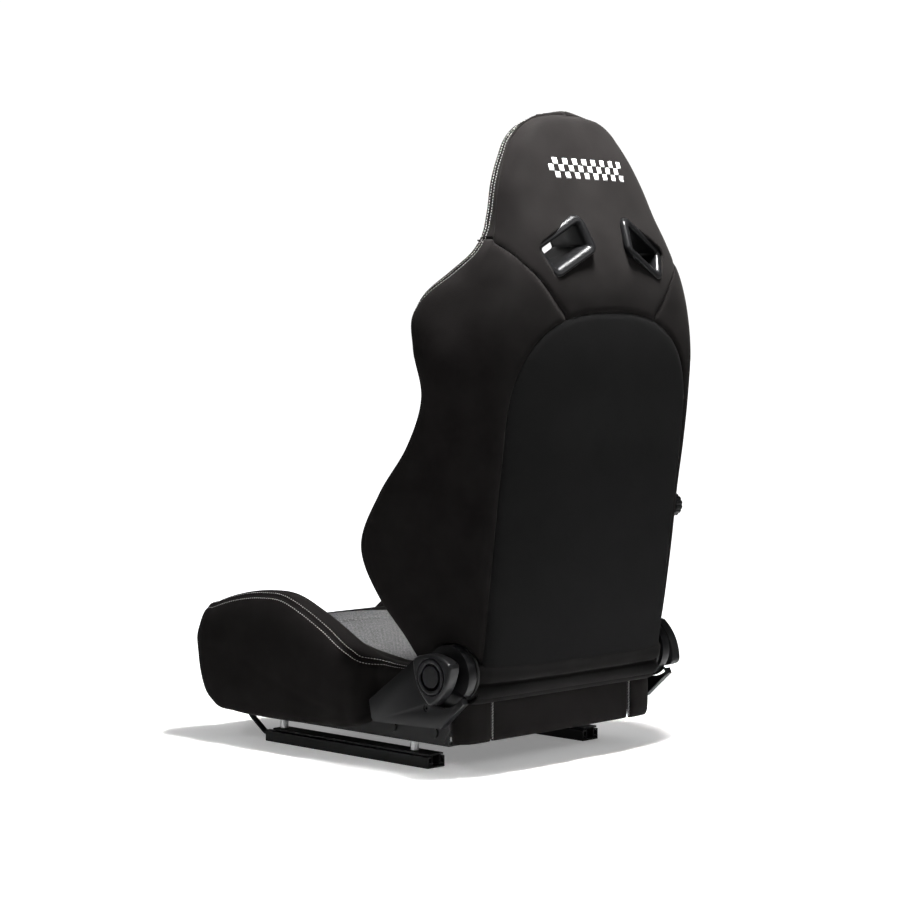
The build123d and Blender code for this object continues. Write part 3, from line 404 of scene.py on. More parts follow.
def back_skin(u, v):
    """Points of the backrest's skin. u goes round the outline, from 0 at the rear middle to 14 at
    the front middle, and is negative on the right. v is the height, and runs from 1 over
    CROWN_START to CROWN_START + 1 over the domed crown."""
    u, v = np.broadcast_arrays(np.asarray(u, float), np.asarray(v, float))
    shape, u, v = u.shape, u.ravel(), v.ravel()
    side_sign = np.where(u < 0, -1.0, 1.0)
    u = np.abs(u)
    rear, corner, drop, tip, tip_y, rounding, insert, insert_y = rows_at(BACK_ROWS, v).T
    side = rear - drop
    turn = np.minimum(1.0, corner / 100)
    run = tip - 2 * rounding - insert
    zero = np.zeros_like(rear)
    xs = [zero, 0.45 * corner, 0.8 * corner, corner - 2 * turn, corner + 3,
          0.5 * (corner + tip) + 4, tip + 2, tip, tip - rounding, tip - 2.1 * rounding,
          insert + 0.45 * run + 4, insert + 3, insert - 6, 0.6 * insert, zero]
    ys = [rear, rear - 0.12 * drop, rear - 0.45 * drop, side + 2 * turn, side - 34 * turn,
          side - 0.5 * (side - tip_y), tip_y + 1.6 * rounding, tip_y - 0.2 * rounding,
          tip_y - 0.45 * rounding, tip_y + 0.3 * rounding, 0.5 * (tip_y + insert_y), insert_y - 4,
          insert_y + 1, insert_y, insert_y]
    xs = np.array([-xs[1]] + xs + [-xs[-2]])
    ys = np.array([ys[1]] + ys + [ys[-2]])
    span = np.minimum(u.astype(int), 13)
    t = u - span
    weights = ((1 - t) ** 3, 3 * t**3 - 6 * t**2 + 4, -3 * t**3 + 3 * t**2 + 3 * t + 1, t**3)
    each = np.arange(len(u))
    x = sum(w * xs[span + k, each] for k, w in enumerate(weights)) / 6
    y = sum(w * ys[span + k, each] for k, w in enumerate(weights)) / 6
    angle = CROWN_ANGLE + np.clip(v - CROWN_START, 0.0, 1.0) * (math.pi / 2 - CROWN_ANGLE)
    scale = np.cos(angle) / math.cos(CROWN_ANGLE)
    centre = 0.5 * (rear + insert_y)
    z = np.where(v > CROWN_START, CROWN_BASE + CROWN_RISE * np.sin(angle), v)
    points = np.stack([side_sign * x * scale, centre + (y - centre) * scale, z], -1)
    return points.reshape(*shape, 3)


def seam_place(v):
    """Where flank and front bolster meet: on the tip's outside at the head, in front lower down."""
    share = np.clip((np.asarray(v, float) - 590) / 130, 0, 1)
    return 8.4 - 1.8 * share * share * (3 - 2 * share)


def grid_faces(rows, columns):
    a = (np.arange(rows - 1)[:, None] * columns + np.arange(columns - 1)[None, :]).ravel()
    return np.stack([a, a + 1, a + columns + 1, a + columns], -1)


def height_steps(low, high, spacing=4.0):
    count = max(2, int(round((min(high, CROWN_START) - low) / spacing)) + 1)
    steps = np.linspace(low, min(high, CROWN_START), count)
    if high > CROWN_START:
        steps = np.concatenate([steps, CROWN_START + np.linspace(0.1, 0.985, 9)])
    return steps


def point_tree(points):
    tree = KDTree(len(points))
    for i, point in enumerate(points):
        tree.insert(point, i)
    tree.balance()
    return tree


def keep_panel(points, faces, picked, seams):
    """The picked faces. The corners along their cut edge move onto the nearest seam."""
    on_kept = np.zeros(len(points), bool)
    on_cut = np.zeros(len(points), bool)
    on_kept[faces[picked].ravel()] = True
    on_cut[faces[~picked].ravel()] = True
    edge = np.where(on_kept & on_cut)[0]
    tree = point_tree(seams)
    points = points.copy()
    for i in edge:
        points[i] = tree.find(points[i])[0]
    used = np.unique(faces[picked].ravel())
    index = np.full(len(points), -1)
    index[used] = np.arange(len(used))
    return points[used], index[faces[picked]]


def sunk(points, faces, seams, depth):
    """Points pressed in along seam lines, as stitched padding is."""
    mesh = bpy.data.meshes.new("normals")
    mesh.from_pydata(points.tolist(), [], faces.tolist())
    mesh.update()
    normals = np.zeros(len(points) * 3)
    mesh.vertices.foreach_get("normal", normals)
    normals = normals.reshape(-1, 3)
    bpy.data.meshes.remove(mesh)
    tree = point_tree(seams)
    away = np.array([tree.find(p)[2] for p in points])
    press = depth * np.exp(-(away / SEAM_WIDTH) ** 2)
    return points - normals * press[:, None]


def rounded_loop(corners, inset, radius, each=9):
    """Four-cornered loop in x and z with rounded corners, inset from the corners given."""
    corners = np.array(corners, float)
    middle = corners.mean(0)
    sides = []
    for i in range(4):
        start, along = corners[i], corners[(i + 1) % 4] - corners[i]
        along = along / np.linalg.norm(along)
        inward = np.array([-along[1], along[0]])
        if inward @ (middle - start) < 0:
            inward = -inward
        sides.append((start + inward * inset, along, inward))
    loop = []
    for i in range(4):
        (p, along, inward), (q, onward, turned) = sides[i - 1], sides[i]
        reach = np.linalg.solve(np.array([along, -onward]).T, q - p)[0]
        corner = p + along * reach
        bisector = inward + turned
        bisector = bisector / (1 + inward @ turned)
        centre = corner + bisector * radius
        first, last = -inward, -turned
        sweep = math.acos(max(-1.0, min(1.0, float(first @ last))))
        for k in range(each):
            part = k / (each - 1)
            mix = (math.sin((1 - part) * sweep) * first + math.sin(part * sweep) * last)
            loop.append(centre + radius * mix / math.sin(sweep))
    return np.array(loop)


def catmull(points, count, closed=False):
    """Smooth curve through points."""
    p = np.array(points, float)
    n = len(p)
    spans = n if closed else n - 1
    t = np.linspace(0, spans, count, endpoint=not closed)
    i = np.minimum(t.astype(int), spans - 1)
    f = (t - i)[:, None]

    def at(k):
        return p[k % n] if closed else p[np.clip(k, 0, n - 1)]

    a, b, c, d = at(i - 1), at(i), at(i + 1), at(i + 2)
    return 0.5 * (2 * b + (c - a) * f + (2 * a - 5 * b + 4 * c - d) * f**2
                  + (3 * b - a - 3 * c + d) * f**3)


def tube(name, sections, material, capped=True):
    """Closed skin over a row of closed sections that all have the same number of points."""
    rows, count = len(sections), len(sections[0])
    points = np.concatenate(sections)
    i = np.arange(rows - 1)[:, None] * count
    j = np.arange(count)[None, :]
    k = (j + 1) % count
    faces = np.stack([i + j, i + k, i + count + k, i + count + j], -1).reshape(-1, 4).tolist()
    if capped:
        faces.append(list(range(count))[::-1])
        faces.append([(rows - 1) * count + n for n in range(count)])
    return mesh_object(name, points, faces, material)


def fixed_normals(piece, weld=False):
    """Turns all faces outwards, and first joins corners that lie on each other if asked."""
    work = bmesh.new()
    work.from_mesh(piece.data)
    if weld:
        bmesh.ops.remove_doubles(work, verts=work.verts, dist=0.01 * MM)
    bmesh.ops.recalc_face_normals(work, faces=work.faces)
    work.to_mesh(piece.data)
    work.free()
    return piece


def surface_tree(pieces):
    """Search tree over pieces at rest, in millimetres."""
    points, faces = [], []
    for piece in pieces:
        start = len(points)
        points += [v.co / MM for v in piece.data.vertices]
        faces += [[start + i for i in p.vertices] for p in piece.data.polygons]
    return BVHTree.FromPolygons(points, faces)


def lengthwise(points, pitch):
    """Evenly spaced points along a line, with the direction there."""
    points = np.asarray(points, float)
    away = np.concatenate([[0], np.cumsum(np.linalg.norm(np.diff(points, axis=0), axis=1))])
    places = np.arange(pitch / 2, away[-1], pitch)
    spots = np.stack([np.interp(places, away, points[:, k]) for k in range(3)], -1)
    ahead = np.stack([np.interp(places + 1.0, away, points[:, k]) for k in range(3)], -1)
    behind = np.stack([np.interp(places - 1.0, away, points[:, k]) for k in range(3)], -1)
    along = ahead - behind
    return spots, along / np.maximum(np.linalg.norm(along, axis=1), 1e-9)[:, None]


def beside(line, distance, tree):
    """Line on the surface at a distance to one side of another, with the surface's normals."""
    spots, along = lengthwise(line, 2.0)
    placed, normals = [], []
    for spot, ahead in zip(spots, along):
        hit, normal, _, _ = tree.find_nearest(Vector(spot))
        if hit is None:
            continue
        side = Vector(ahead).cross(normal).normalized()
        hit, normal, _, _ = tree.find_nearest(hit + side * distance)
        placed.append(np.array(hit))
        normals.append(np.array(normal))
    return np.array(placed), np.array(normals)


STITCH_RING = ((-1.0, 0.35, -0.5), (-0.62, 0.95, 0.1), (0.0, 1.0, 0.25), (0.62, 0.95, 0.1),
               (1.0, 0.35, -0.5))


def stitches(name, lines, body, material, pitch=4.6, length=3.2, radius=0.55, slant=0.0):
    """Rows of short raised stitches along lines, each given as points and normals."""
    points, faces = [], []
    for line, normals in lines:
        if len(line) < 3:
            continue
        spots, along = lengthwise(line, pitch)
        tree = point_tree(line)
        for spot, ahead in zip(spots, along):
            up = normals[tree.find(spot)[1]]
            side = np.cross(up, ahead)
            side /= max(np.linalg.norm(side), 1e-9)
            ahead = math.cos(slant) * ahead + math.sin(slant) * side
            side = np.cross(up, ahead)
            start = len(points)
            for reach, size, height in STITCH_RING:
                middle = spot + ahead * reach * length / 2 + up * radius * height
                for k in range(6):
                    a = k * math.pi / 3
                    points.append(middle + size * radius * (math.cos(a) * side
                                                            + 0.8 * math.sin(a) * up))
            for r in range(len(STITCH_RING) - 1):
                for k in range(6):
                    a, b = start + 6 * r + k, start + 6 * r + (k + 1) % 6
                    faces.append((a, b, b + 6, a + 6))
            faces.append([start + k for k in range(6)][::-1])
            faces.append([start + 6 * (len(STITCH_RING) - 1) + k for k in range(6)])
    finish_rigid(mesh_object(name, points, faces, material), body, "suede_black")


def piping(name, line, radius, body, material, slot, sides=8):
    """Thin round edging that follows a line of points."""
    spots, along = lengthwise(line, 4.0)
    angle = np.arange(sides) * 2 * math.pi / sides
    sections = []
    for spot, ahead in zip(spots, along):
        side = np.cross(ahead, (0.0, 0.0, 1.0))
        if np.linalg.norm(side) < 0.1:
            side = np.cross(ahead, (1.0, 0.0, 0.0))
        side = side / np.linalg.norm(side)
        up = np.cross(side, ahead)
        around = np.cos(angle)[:, None] * side + np.sin(angle)[:, None] * up
        sections.append(spot + radius * around)
    finish_rigid(fixed_normals(tube(name, sections, material)), body, slot)


def finish_rigid(piece, body, slot, *replaced):
    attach(piece, body)
    if replaced:
        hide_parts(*replaced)


def finish_soft(piece, body, slot, replaced=()):
    finish_rigid(piece, body, slot)
    if replaced:
        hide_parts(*replaced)
    return piece


# ---- backrest -------------------------------------------------------------------------------
def place_on_rear(x, v):
    """Place u round the outline where the rear surface has that x."""
    table_u = np.linspace(0, 3.4, 120)
    found = []
    for one_x, one_v in zip(np.atleast_1d(x), np.atleast_1d(v)):
        across = back_skin(table_u, np.full_like(table_u, one_v))[:, 0]
        found.append(np.interp(abs(one_x), across, table_u) * (1 if one_x >= 0 else -1))
    return np.array(found)


def arch_half(z):
    """Half width of the rear panel, which ends in an arch."""
    over = np.clip((np.asarray(z, float) - ARCH_BASE) / ARCH_RISE, 0, 1)
    return ARCH_HALF * (1 - over**ARCH_POWER) ** (1 / ARCH_POWER)


def neck_height(u):
    """Height of the seam under the head's cover."""
    table = np.array(NECK_SEAM, float)
    return np.interp(np.abs(u), table[:, 0], table[:, 1])


def seam_lines():
    """Lines of the seams on the skin: the rear panel's, the neck's two and the wings' edge."""
    angle = np.linspace(0, math.pi / 2, 90)
    x = ARCH_HALF * np.cos(angle) ** (2 / ARCH_POWER)
    z = ARCH_BASE + ARCH_RISE * np.sin(angle) ** (2 / ARCH_POWER)
    down = np.arange(BACK_BOTTOM, ARCH_BASE, 4.0)
    x = np.concatenate([np.full(len(down), ARCH_HALF), x])
    z = np.concatenate([down, z])
    left = back_skin(place_on_rear(x, z), z)
    right = left[::-1] * (-1, 1, 1)
    arch = np.concatenate([left, right])
    smooth = catmull(NECK_SEAM, 260)
    neck_left = back_skin(smooth[:, 0], smooth[:, 1])
    neck_right = neck_left * (-1, 1, 1)
    heights = height_steps(BACK_BOTTOM, CROWN_START + 1, 3.0)
    tip_left = back_skin(seam_place(heights), heights)
    tip = np.concatenate([tip_left, tip_left[::-1] * (-1, 1, 1)])
    return arch, neck_left, neck_right, tip


def dense(line, spacing=1.5):
    return lengthwise(line, spacing)[0]


def rim_loops(corners):
    """Outlines where the harness holes are cut, seen along Y."""
    flat = rounded_loop(corners, 4.0, RIM_CORNER_R - 4.0, 14)
    return [flat * (side, 1) for side in (1, -1)]


def in_hole(points, loops):
    """Which points lie inside one of the holes, seen along Y."""
    inside = np.zeros(len(points), bool)
    for loop in loops:
        x, z = points[:, 0], points[:, 2]
        hit = np.zeros(len(points), bool)
        for a, b in zip(loop, np.roll(loop, -1, 0)):
            crosses = (a[1] > z) != (b[1] > z)
            if abs(b[1] - a[1]) > 1e-9:
                at = a[0] + (z - a[1]) * (b[0] - a[0]) / (b[1] - a[1])
                hit ^= crosses & (x < at)
        inside |= hit
    return inside


def hole_edges(points, loops):
    """Dense points of the hole outlines at the depth of the skin given."""
    tree = point_tree(points * (1, 0, 1))
    edges = []
    for loop in loops:
        closed = np.concatenate([loop, loop[:1]])
        flat = np.stack([closed[:, 0], np.zeros(len(closed)), closed[:, 1]], -1)
        for p in dense(flat, 1.0):
            near = tree.find_n((p[0], 0.0, p[2]), 4)
            weights = [1 / (n[2] + 0.1) for n in near]
            depth = np.average([points[n[1]][1] for n in near], weights=weights)
            edges.append((p[0], depth, p[2]))
    return np.array(edges)


def hinge_edge(points):
    """Points of the round cut about the recline axis, at the widths of the skin given."""
    near = points[np.abs(np.hypot(points[:, 1] - HINGE[0], points[:, 2] - HINGE[1])
                         - HINGE_CUT_R) < 7]
    if not len(near):
        return near
    out = near[:, 1:] - HINGE
    ring = np.array(HINGE) + HINGE_CUT_R * out / np.linalg.norm(out, axis=1)[:, None]
    return np.concatenate([near[:, :1], ring], 1)


def clear_of_hinge(centres):
    away = np.hypot(centres[:, 1] - HINGE[0], centres[:, 2] - HINGE[1])
    return (away > HINGE_CUT_R) | (np.abs(centres[:, 0]) < HINGE_CUT_FROM)


def cover_panel(name, points, faces, mask, targets, lines, material, slot="suede_black",
                fill=0.7, depth=SEAM_DEPTH, replaced=()):
    """Panel of the backrest's cover, cut out along its seams and pressed in at them."""
    part_points, part_faces = keep_panel(points, faces, mask, targets)
    part_points = sunk(part_points, part_faces, lines, depth)
    piece = thicken(mesh_object(name, part_points, part_faces, material), COVER_THICKNESS)
    return finish_soft(piece, "backrest", slot, replaced)


def build_backrest():
    arch, neck_left, neck_right, tip = seam_lines()
    loops = rim_loops([(x, z) for x, _, z in HARNESS_RIM])
    front_loops = rim_loops(FRONT_RIM)
    grooves = np.concatenate([dense(line) for line in (arch, neck_left, neck_right)])
    tip_dense = dense(tip)
    tip_left = tip_dense[tip_dense[:, 0] > 0]
    pieces = {}

    # rear skin: arch panel, head and flanks share one grid, cut along the seams
    v = height_steps(BACK_BOTTOM, CROWN_START + 1)
    u = np.linspace(-1, 1, 281)[None, :] * seam_place(v)[:, None]
    points = back_skin(u, v[:, None]).reshape(-1, 3)
    uv = np.stack(np.broadcast_arrays(u, v[:, None]), -1).reshape(-1, 2)
    faces = grid_faces(len(v), u.shape[1])[:, ::-1]
    centre_uv = uv[faces].mean(1)
    centres = points[faces].mean(1)
    in_arch = ((np.abs(centres[:, 0]) < arch_half(centres[:, 2])) & (centres[:, 2] < ARCH_TOP)
               & (np.abs(centre_uv[:, 0]) < 3.3))
    over_arch = (np.abs(centre_uv[:, 0]) < NECK_SEAM[0][0]) & (centres[:, 2] > NECK_BASE)
    above_neck = ~in_arch & (over_arch | (centre_uv[:, 1] > neck_height(centre_uv[:, 0])))
    holes = in_hole(centres, loops) & (centres[:, 2] > INSERT_TOP)
    clear = clear_of_hinge(centres)
    flank = ~in_arch & ~above_neck & clear
    on_left = centre_uv[:, 0] > 0
    targets = np.concatenate([grooves, hole_edges(points, loops), hinge_edge(points)])
    lines = np.concatenate([grooves, tip_dense])
    skin = (points, faces)
    pieces["back_arch_panel"] = cover_panel(
        "back_arch_panel", *skin, in_arch, targets, lines, KNIT, "knit_black", 0.5, 2.0,
        ["back_rear_panel"])
    suede_panels = [
        ("head_cover_rear", above_neck & ~holes, "head_section"),
        ("wing_flank_left", flank & on_left, "back_wing_left"),
        ("wing_flank_right", flank & ~on_left, "back_wing_right"),
    ]
    for name, mask, node in suede_panels:
        pieces[name] = cover_panel(name, *skin, mask, targets, lines, SUEDE, replaced=[node])

    # front skin: bolsters and head front in suede
    seam = seam_place(v)[:, None]
    half = seam + np.linspace(0, 1, 100)[None, :] * (INSERT_EDGE_U - seam)
    inwards = np.linspace(INSERT_EDGE_U, FRONT_MIDDLE_U, 44)[None, 1:]
    middle = np.broadcast_to(inwards, (len(v), 43))
    for side in (1, -1):
        around = np.concatenate([half, middle], 1) * side
        points = back_skin(around, v[:, None]).reshape(-1, 3)
        uv = np.stack(np.broadcast_arrays(around, v[:, None]), -1).reshape(-1, 2)
        faces = grid_faces(len(v), around.shape[1])
        if side > 0:
            faces = faces[:, ::-1]
        centre_uv = uv[faces].mean(1)
        centres = points[faces].mean(1)
        place = np.abs(centre_uv[:, 0])
        above = centre_uv[:, 1] > neck_height(place)
        over_insert = centres[:, 2] > INSERT_TOP
        holes = in_hole(centres, front_loops) & over_insert
        word = "left" if side > 0 else "right"
        neck = neck_left if side > 0 else neck_right
        over = np.linspace(INSERT_EDGE_U, FRONT_MIDDLE_U, 60) * side
        bottom = back_skin(over, np.full(60, INSERT_TOP))
        lines = np.concatenate([dense(neck), dense(tip_left * (side, 1, 1)), dense(bottom)])
        targets = np.concatenate([lines, hole_edges(points, front_loops), hinge_edge(points)])
        beside_insert = place < INSERT_EDGE_U
        masks = {
            f"head_cover_front_{word}": above & ~holes & (beside_insert | over_insert),
            f"wing_front_{word}": ~above & beside_insert & clear_of_hinge(centres),
        }
        for name, mask in masks.items():
            pieces[name] = cover_panel(name, points, faces, mask, targets, lines, SUEDE_DARK)

        # underside of the wing, from the flank's lower edge to the front bolster's
        share = np.linspace(0, 1, 30)
        tip_u = float(seam_place(BACK_BOTTOM))
        corner_u = 2.7
        low = np.full(30, BACK_BOTTOM + 1)
        outer = back_skin(side * (corner_u + share * (tip_u - corner_u)), low)
        inner = back_skin(side * (INSERT_EDGE_U - share * (INSERT_EDGE_U - tip_u)), low)
        across = np.linspace(0, 1, 12)[None, :, None]
        base = outer[:, None, :] * (1 - across) + inner[:, None, :] * across
        base = base.reshape(-1, 3)
        faces = grid_faces(30, 12)
        if side < 0:
            faces = faces[:, ::-1]
        part_points, part_faces = keep_panel(base, faces, clear_of_hinge(base[faces].mean(1)),
                                             np.concatenate([hinge_edge(base), base[:1]]))
        piece = mesh_object(f"wing_underside_{word}", part_points, part_faces, SUEDE_DARK)
        thicken(piece, 3.0)
        pieces[piece.name] = finish_soft(piece, "backrest", "suede_black")
    return pieces, neck_left, neck_right, tip


def build_back_insert():
    """Crowned woven pad between the wings, with three sewn channels."""
    bottom, half_u = 165.0, FRONT_MIDDLE_U - INSERT_EDGE_U
    u = np.linspace(-half_u, half_u, 81)
    v = height_steps(bottom, INSERT_TOP, 5.0)
    around = np.where(u < 0, -FRONT_MIDDLE_U - u, FRONT_MIDDLE_U - u)
    front = back_skin(around[None, :], v[:, None])
    share = np.abs(u)[None, :] / half_u
    rise = np.clip((v[:, None] - bottom) / (INSERT_TOP - bottom), 0, 1)
    crown = 7.0 * (1 - share**2) * np.sin(rise * math.pi) ** 0.5
    lumbar = 9.0 * np.exp(-((v[:, None] - 375) / 85) ** 2) * (1 - share**2)
    channels = sum(4.5 * np.exp(-((v[:, None] - z) / 5.0) ** 2) for z in (265.0, 485.0, 590.0))
    border = 6.0 * np.exp(-((1 - share) / 0.035) ** 2)
    front[..., 1] -= crown + lumbar - channels - border
    points = front.reshape(-1, 3)
    piece = mesh_object("back_insert_pad", points, grid_faces(len(v), len(u)), WEAVE_BACK)
    thicken(piece, 11.0)
    fixed_normals(piece)
    return finish_soft(piece, "backrest", "woven_grey", ["back_insert"])


def plane_y(point, normal, x, z):
    """Depth of a tilted plane at x and z."""
    return point[1] - ((x - point[0]) * normal[0] + (z - point[2]) * normal[2]) / normal[1]


def build_bezels():
    """Moulded rims round the harness holes, and the tunnels between them."""
    flat = [(x, z) for x, _, z in HARNESS_RIM]
    centre = np.array(HARNESS_RIM, float).mean(0)
    rear_profile = [(0.4, -9.0), (0.0, -3.0), (0.5, 0.6), (2.0, 3.0), (4.6, 4.4), (7.6, 4.5),
                    (10.4, 3.2), (12.2, 0.8), (12.9, -2.2), (13.0, -9.0)]
    front_profile = [(0.4, -5.0), (0.0, -1.0), (0.6, 1.4), (2.4, 3.0), (6.5, 3.6), (10.2, 2.8),
                     (12.2, 0.8), (12.9, -2.0), (13.0, -6.0)]
    planes = {"rear": (centre, RIM_NORMAL), "front": (FRONT_POINT, FRONT_NORMAL)}
    corners = {"rear": flat, "front": FRONT_RIM}
    tightest = 4.5

    def rim_loop(side, end, inset, radius, shift):
        loop = rounded_loop(corners[end], inset, radius, 10)
        y = plane_y(*planes[end], loop[:, 0], loop[:, 1]) + shift
        return np.stack([side * loop[:, 0], y, loop[:, 1]], -1)

    for side, word in SIDES:
        for end, profile, way in (("rear", rear_profile, 1), ("front", front_profile, -1)):
            loops = [rim_loop(side, end, inset, max(RIM_CORNER_R - inset, tightest), way * height)
                     for inset, height in profile]
            if end == "rear":   # the tunnel through to the front, and back inside it
                loops.append(rim_loop(side, "front", 13.0, tightest, 3.0))
                loops.append(rim_loop(side, "front", 10.6, tightest, 3.0))
                loops.append(rim_loop(side, "rear", 10.6, tightest, -9.0))
            loops.append(loops[0])
            piece = tube(f"harness_rim_{end}_{word}", loops, PLASTIC, capped=False)
            fixed_normals(piece, weld=True)
            finish_rigid(piece, "backrest", "satin_plastic", f"harness_bezel_{end}_{word}")


def build_band(tree):
    """Embroidered chequered strip across the back of the head."""
    cell, rows, columns, base = 10.0, 3, 16, 852.0
    lift, sunk_depth, margin, edge_drop, steps = 0.5, -1.0, 0.3, 0.35, 5
    pitch = (cell - 2 * margin) / (steps - 1)
    n = steps * steps
    rim = ([i * steps for i in range(steps)]
           + [(steps - 1) * steps + j for j in range(1, steps)]
           + [i * steps + steps - 1 for i in range(steps - 2, -1, -1)]
           + list(range(steps - 2, 0, -1)))
    points, faces = [], []
    for r in range(rows):
        for c in range(r % 2, columns, 2):
            x0, z0 = (c - columns / 2) * cell + margin, base + r * cell + margin
            start = len(points)
            for layer in (lift, sunk_depth):
                for k in range(n):
                    i, j = divmod(k, steps)
                    from_above = Vector((x0 + pitch * i, 500.0, z0 + pitch * j))
                    spot, normal, _, _ = tree.ray_cast(from_above, Vector((0, -1, 0)))
                    drop = edge_drop if layer > 0 and k in rim else 0
                    points.append(tuple(spot + normal * (layer - drop)))
            for i in range(steps - 1):
                for j in range(steps - 1):
                    a = start + i * steps + j
                    b = a + n
                    faces.append((a, a + steps, a + steps + 1, a + 1))
                    faces.append((b + 1, b + steps + 1, b + steps, b))
            for a, b in zip(rim, rim[1:] + rim[:1]):
                a, b = start + a, start + b
                faces.append((a, a + n, b + n, b))
    piece = fixed_normals(mesh_object("chequered_band", points, faces, BAND_THREAD))
    finish_rigid(piece, "backrest", "suede_black")


def build_back_stitching(pieces, neck_left, neck_right, tip):
    tree = surface_tree([p for n, p in pieces.items() if "underside" not in n])
    rows = []
    for side in (1, -1):
        edge = tip[tip[:, 0] * side > 0]
        edge = edge[edge[:, 2] > STITCH_BASE]
        edge = edge[np.argsort(edge[:, 2])] if side > 0 else edge[np.argsort(-edge[:, 2])]
        for distance in (-4.2, 4.2):
            rows.append(beside(edge, distance, tree))
    stitches("back_edge_stitching", rows, "backrest", THREAD)
    neck_rows = [beside(line, 3.4, tree) for line in (neck_left, neck_right)]
    stitches("neck_stitching", neck_rows, "backrest", SUEDE, 5.0, 3.2, 0.4)
    build_band(tree)


# ---- cushion --------------------------------------------------------------------------------
def bolster_ring(y, side, count=88):
    """Section of the cushion's side at depth y, and where its seams run on it."""
    outer, bottom, crest, seat = rows_at(BOLSTER_ROWS, [y])[0]
    inner = 151.4
    height = crest - bottom
    foot = max(104.0, bottom + 4)
    ring = [(inner, foot), (190, foot), (196, bottom + 2), (outer - 14, bottom),
            (outer - 3, bottom + 0.15 * height), (outer, bottom + 0.36 * height),
            (outer + 0.5, bottom + 0.6 * height), (outer - 4, crest - 0.17 * height),
            (outer - 14, crest - 0.035 * height), (outer - 27, crest),
            (0.5 * (outer + inner) - 4, crest - 0.07 * (crest - seat)),
            (inner + 0.26 * (outer - inner), seat + 0.52 * (crest - seat)), (inner, seat)]
    smooth = catmull(ring, count, closed=True)
    return np.stack([side * smooth[:, 0], np.full(count, y), smooth[:, 1]], -1)


SEAM_SHARE = 8.05 / 13          # the top seam's place round a section


def seam_on_bolster(side):
    """Line of the top seam, front to rear."""
    count = 260
    return np.array([bolster_ring(y, side, count)[int(SEAM_SHARE * count)]
                     for y in np.arange(-268.0, 150.0, 4.0)])


def build_bolsters():
    lower_seam = [(-272, 146), (-196, 145), (-150, 131), (-83, 106), (21, 75), (66, 64)]
    for side, word in SIDES:
        depths = np.concatenate([np.arange(-287.0, 172.0, 4.5), [174.0]])
        rings = [bolster_ring(y, side) for y in depths]
        front, rear = rings[0], rings[-1]
        ends = []
        for ring, way, push in ((front, -1, 4.0), (rear, 1, 1.5)):
            middle = ring.mean(0)
            for scale in (0.93, 0.75, 0.4):
                out = middle + (ring - middle) * scale
                out[:, 1] += way * push * math.sqrt(1 - scale**2)
                ends.append(out)
        rings = ends[:3][::-1] + rings + ends[3:]
        piece = fixed_normals(tube(f"cushion_side_{word}", rings, SUEDE))
        points = np.array([v.co for v in piece.data.vertices]) / MM
        top_seam = dense(seam_on_bolster(side))
        line = catmull([(side * 249.5, y, z) for y, z in lower_seam], 160)
        tree = point_tree(np.concatenate([top_seam, line]))
        normals = np.array([v.normal for v in piece.data.vertices])
        for i, p in enumerate(points):
            _, index, away = tree.find(p)
            depth = SEAM_DEPTH if index < len(top_seam) else 1.3
            points[i] = p - normals[i] * depth * math.exp(-(away / 4.0) ** 2)
        piece.data.vertices.foreach_set("co", (points * MM).ravel())
        piece.data.update()
        finish_soft(piece, "seat_base", "suede_black", [f"thigh_bolster_{word}"])
        surface = surface_tree([piece])
        rows = [beside(seam_on_bolster(side), distance, surface) for distance in (-5.0, 5.0)]
        stitches(f"cushion_stitching_{word}", rows, "seat_base", THREAD)


def cushion_top(y):
    """Height of the woven insert along the cushion."""
    return rows_at([(-232, 177), (-140, 167.5), (-60, 160), (70, 149), (172, 140)], [y])[0][0]


def build_insert():
    """Crowned woven centre of the cushion, with a sewn channel near the front."""
    rings = []
    depths = np.concatenate([[-231.6], np.linspace(-230, 168, 96), [171.0]])
    width = 150.8
    share = np.linspace(-1, 1, 73)
    for y in depths:
        top = cushion_top(y)
        end = min(1.0, (y + 231.7) / 9.0, (171.3 - y) / 9.0)
        edge = math.sqrt(max(0.0, 1 - (1 - end) ** 2))
        crown = 8.0 * (1 - share**2) * edge
        seam = 4.0 * math.exp(-((y + 168.0) / 4.0) ** 2)
        rolled = 7.0 * np.exp(-((1 - np.abs(share)) / 0.03) ** 2)
        z = top - 5.0 + crown - seam - rolled + 5.0 * edge - 4
        base = 86.0 if y > -196 else 106.0
        upper = np.stack([share * width, np.full(73, y), z], -1)
        lower = np.array([(width - 2, y, base), (-width + 2, y, base)])
        rings.append(np.concatenate([upper, lower]))
    piece = fixed_normals(tube("cushion_insert", rings, WEAVE_SEAT))
    finish_soft(piece, "seat_base", "woven_grey", ["seat_cushion"])


def build_thigh_roll():
    """Round roll under the thighs, along the cushion's front edge."""
    rings = []
    outline = [(-232.2, 172), (-246, 178), (-263, 174.5), (-279, 163), (-285, 147), (-283, 130),
               (-275, 115), (-262, 105), (-246, 104), (-232.2, 106)]
    for x in np.linspace(-151.0, 151.0, 62):
        inward = 1 - 0.10 * math.exp(-((151.0 - abs(x)) / 5.0) ** 2)
        ring = catmull(outline, 60, closed=True)
        middle = ring.mean(0)
        ring = middle + (ring - middle) * inward
        rings.append(np.stack([np.full(60, x), ring[:, 0], ring[:, 1]], -1))
    piece = fixed_normals(tube("thigh_roll_cover", rings, SUEDE_DARK))
    finish_soft(piece, "seat_base", "suede_black", ["thigh_roll"])


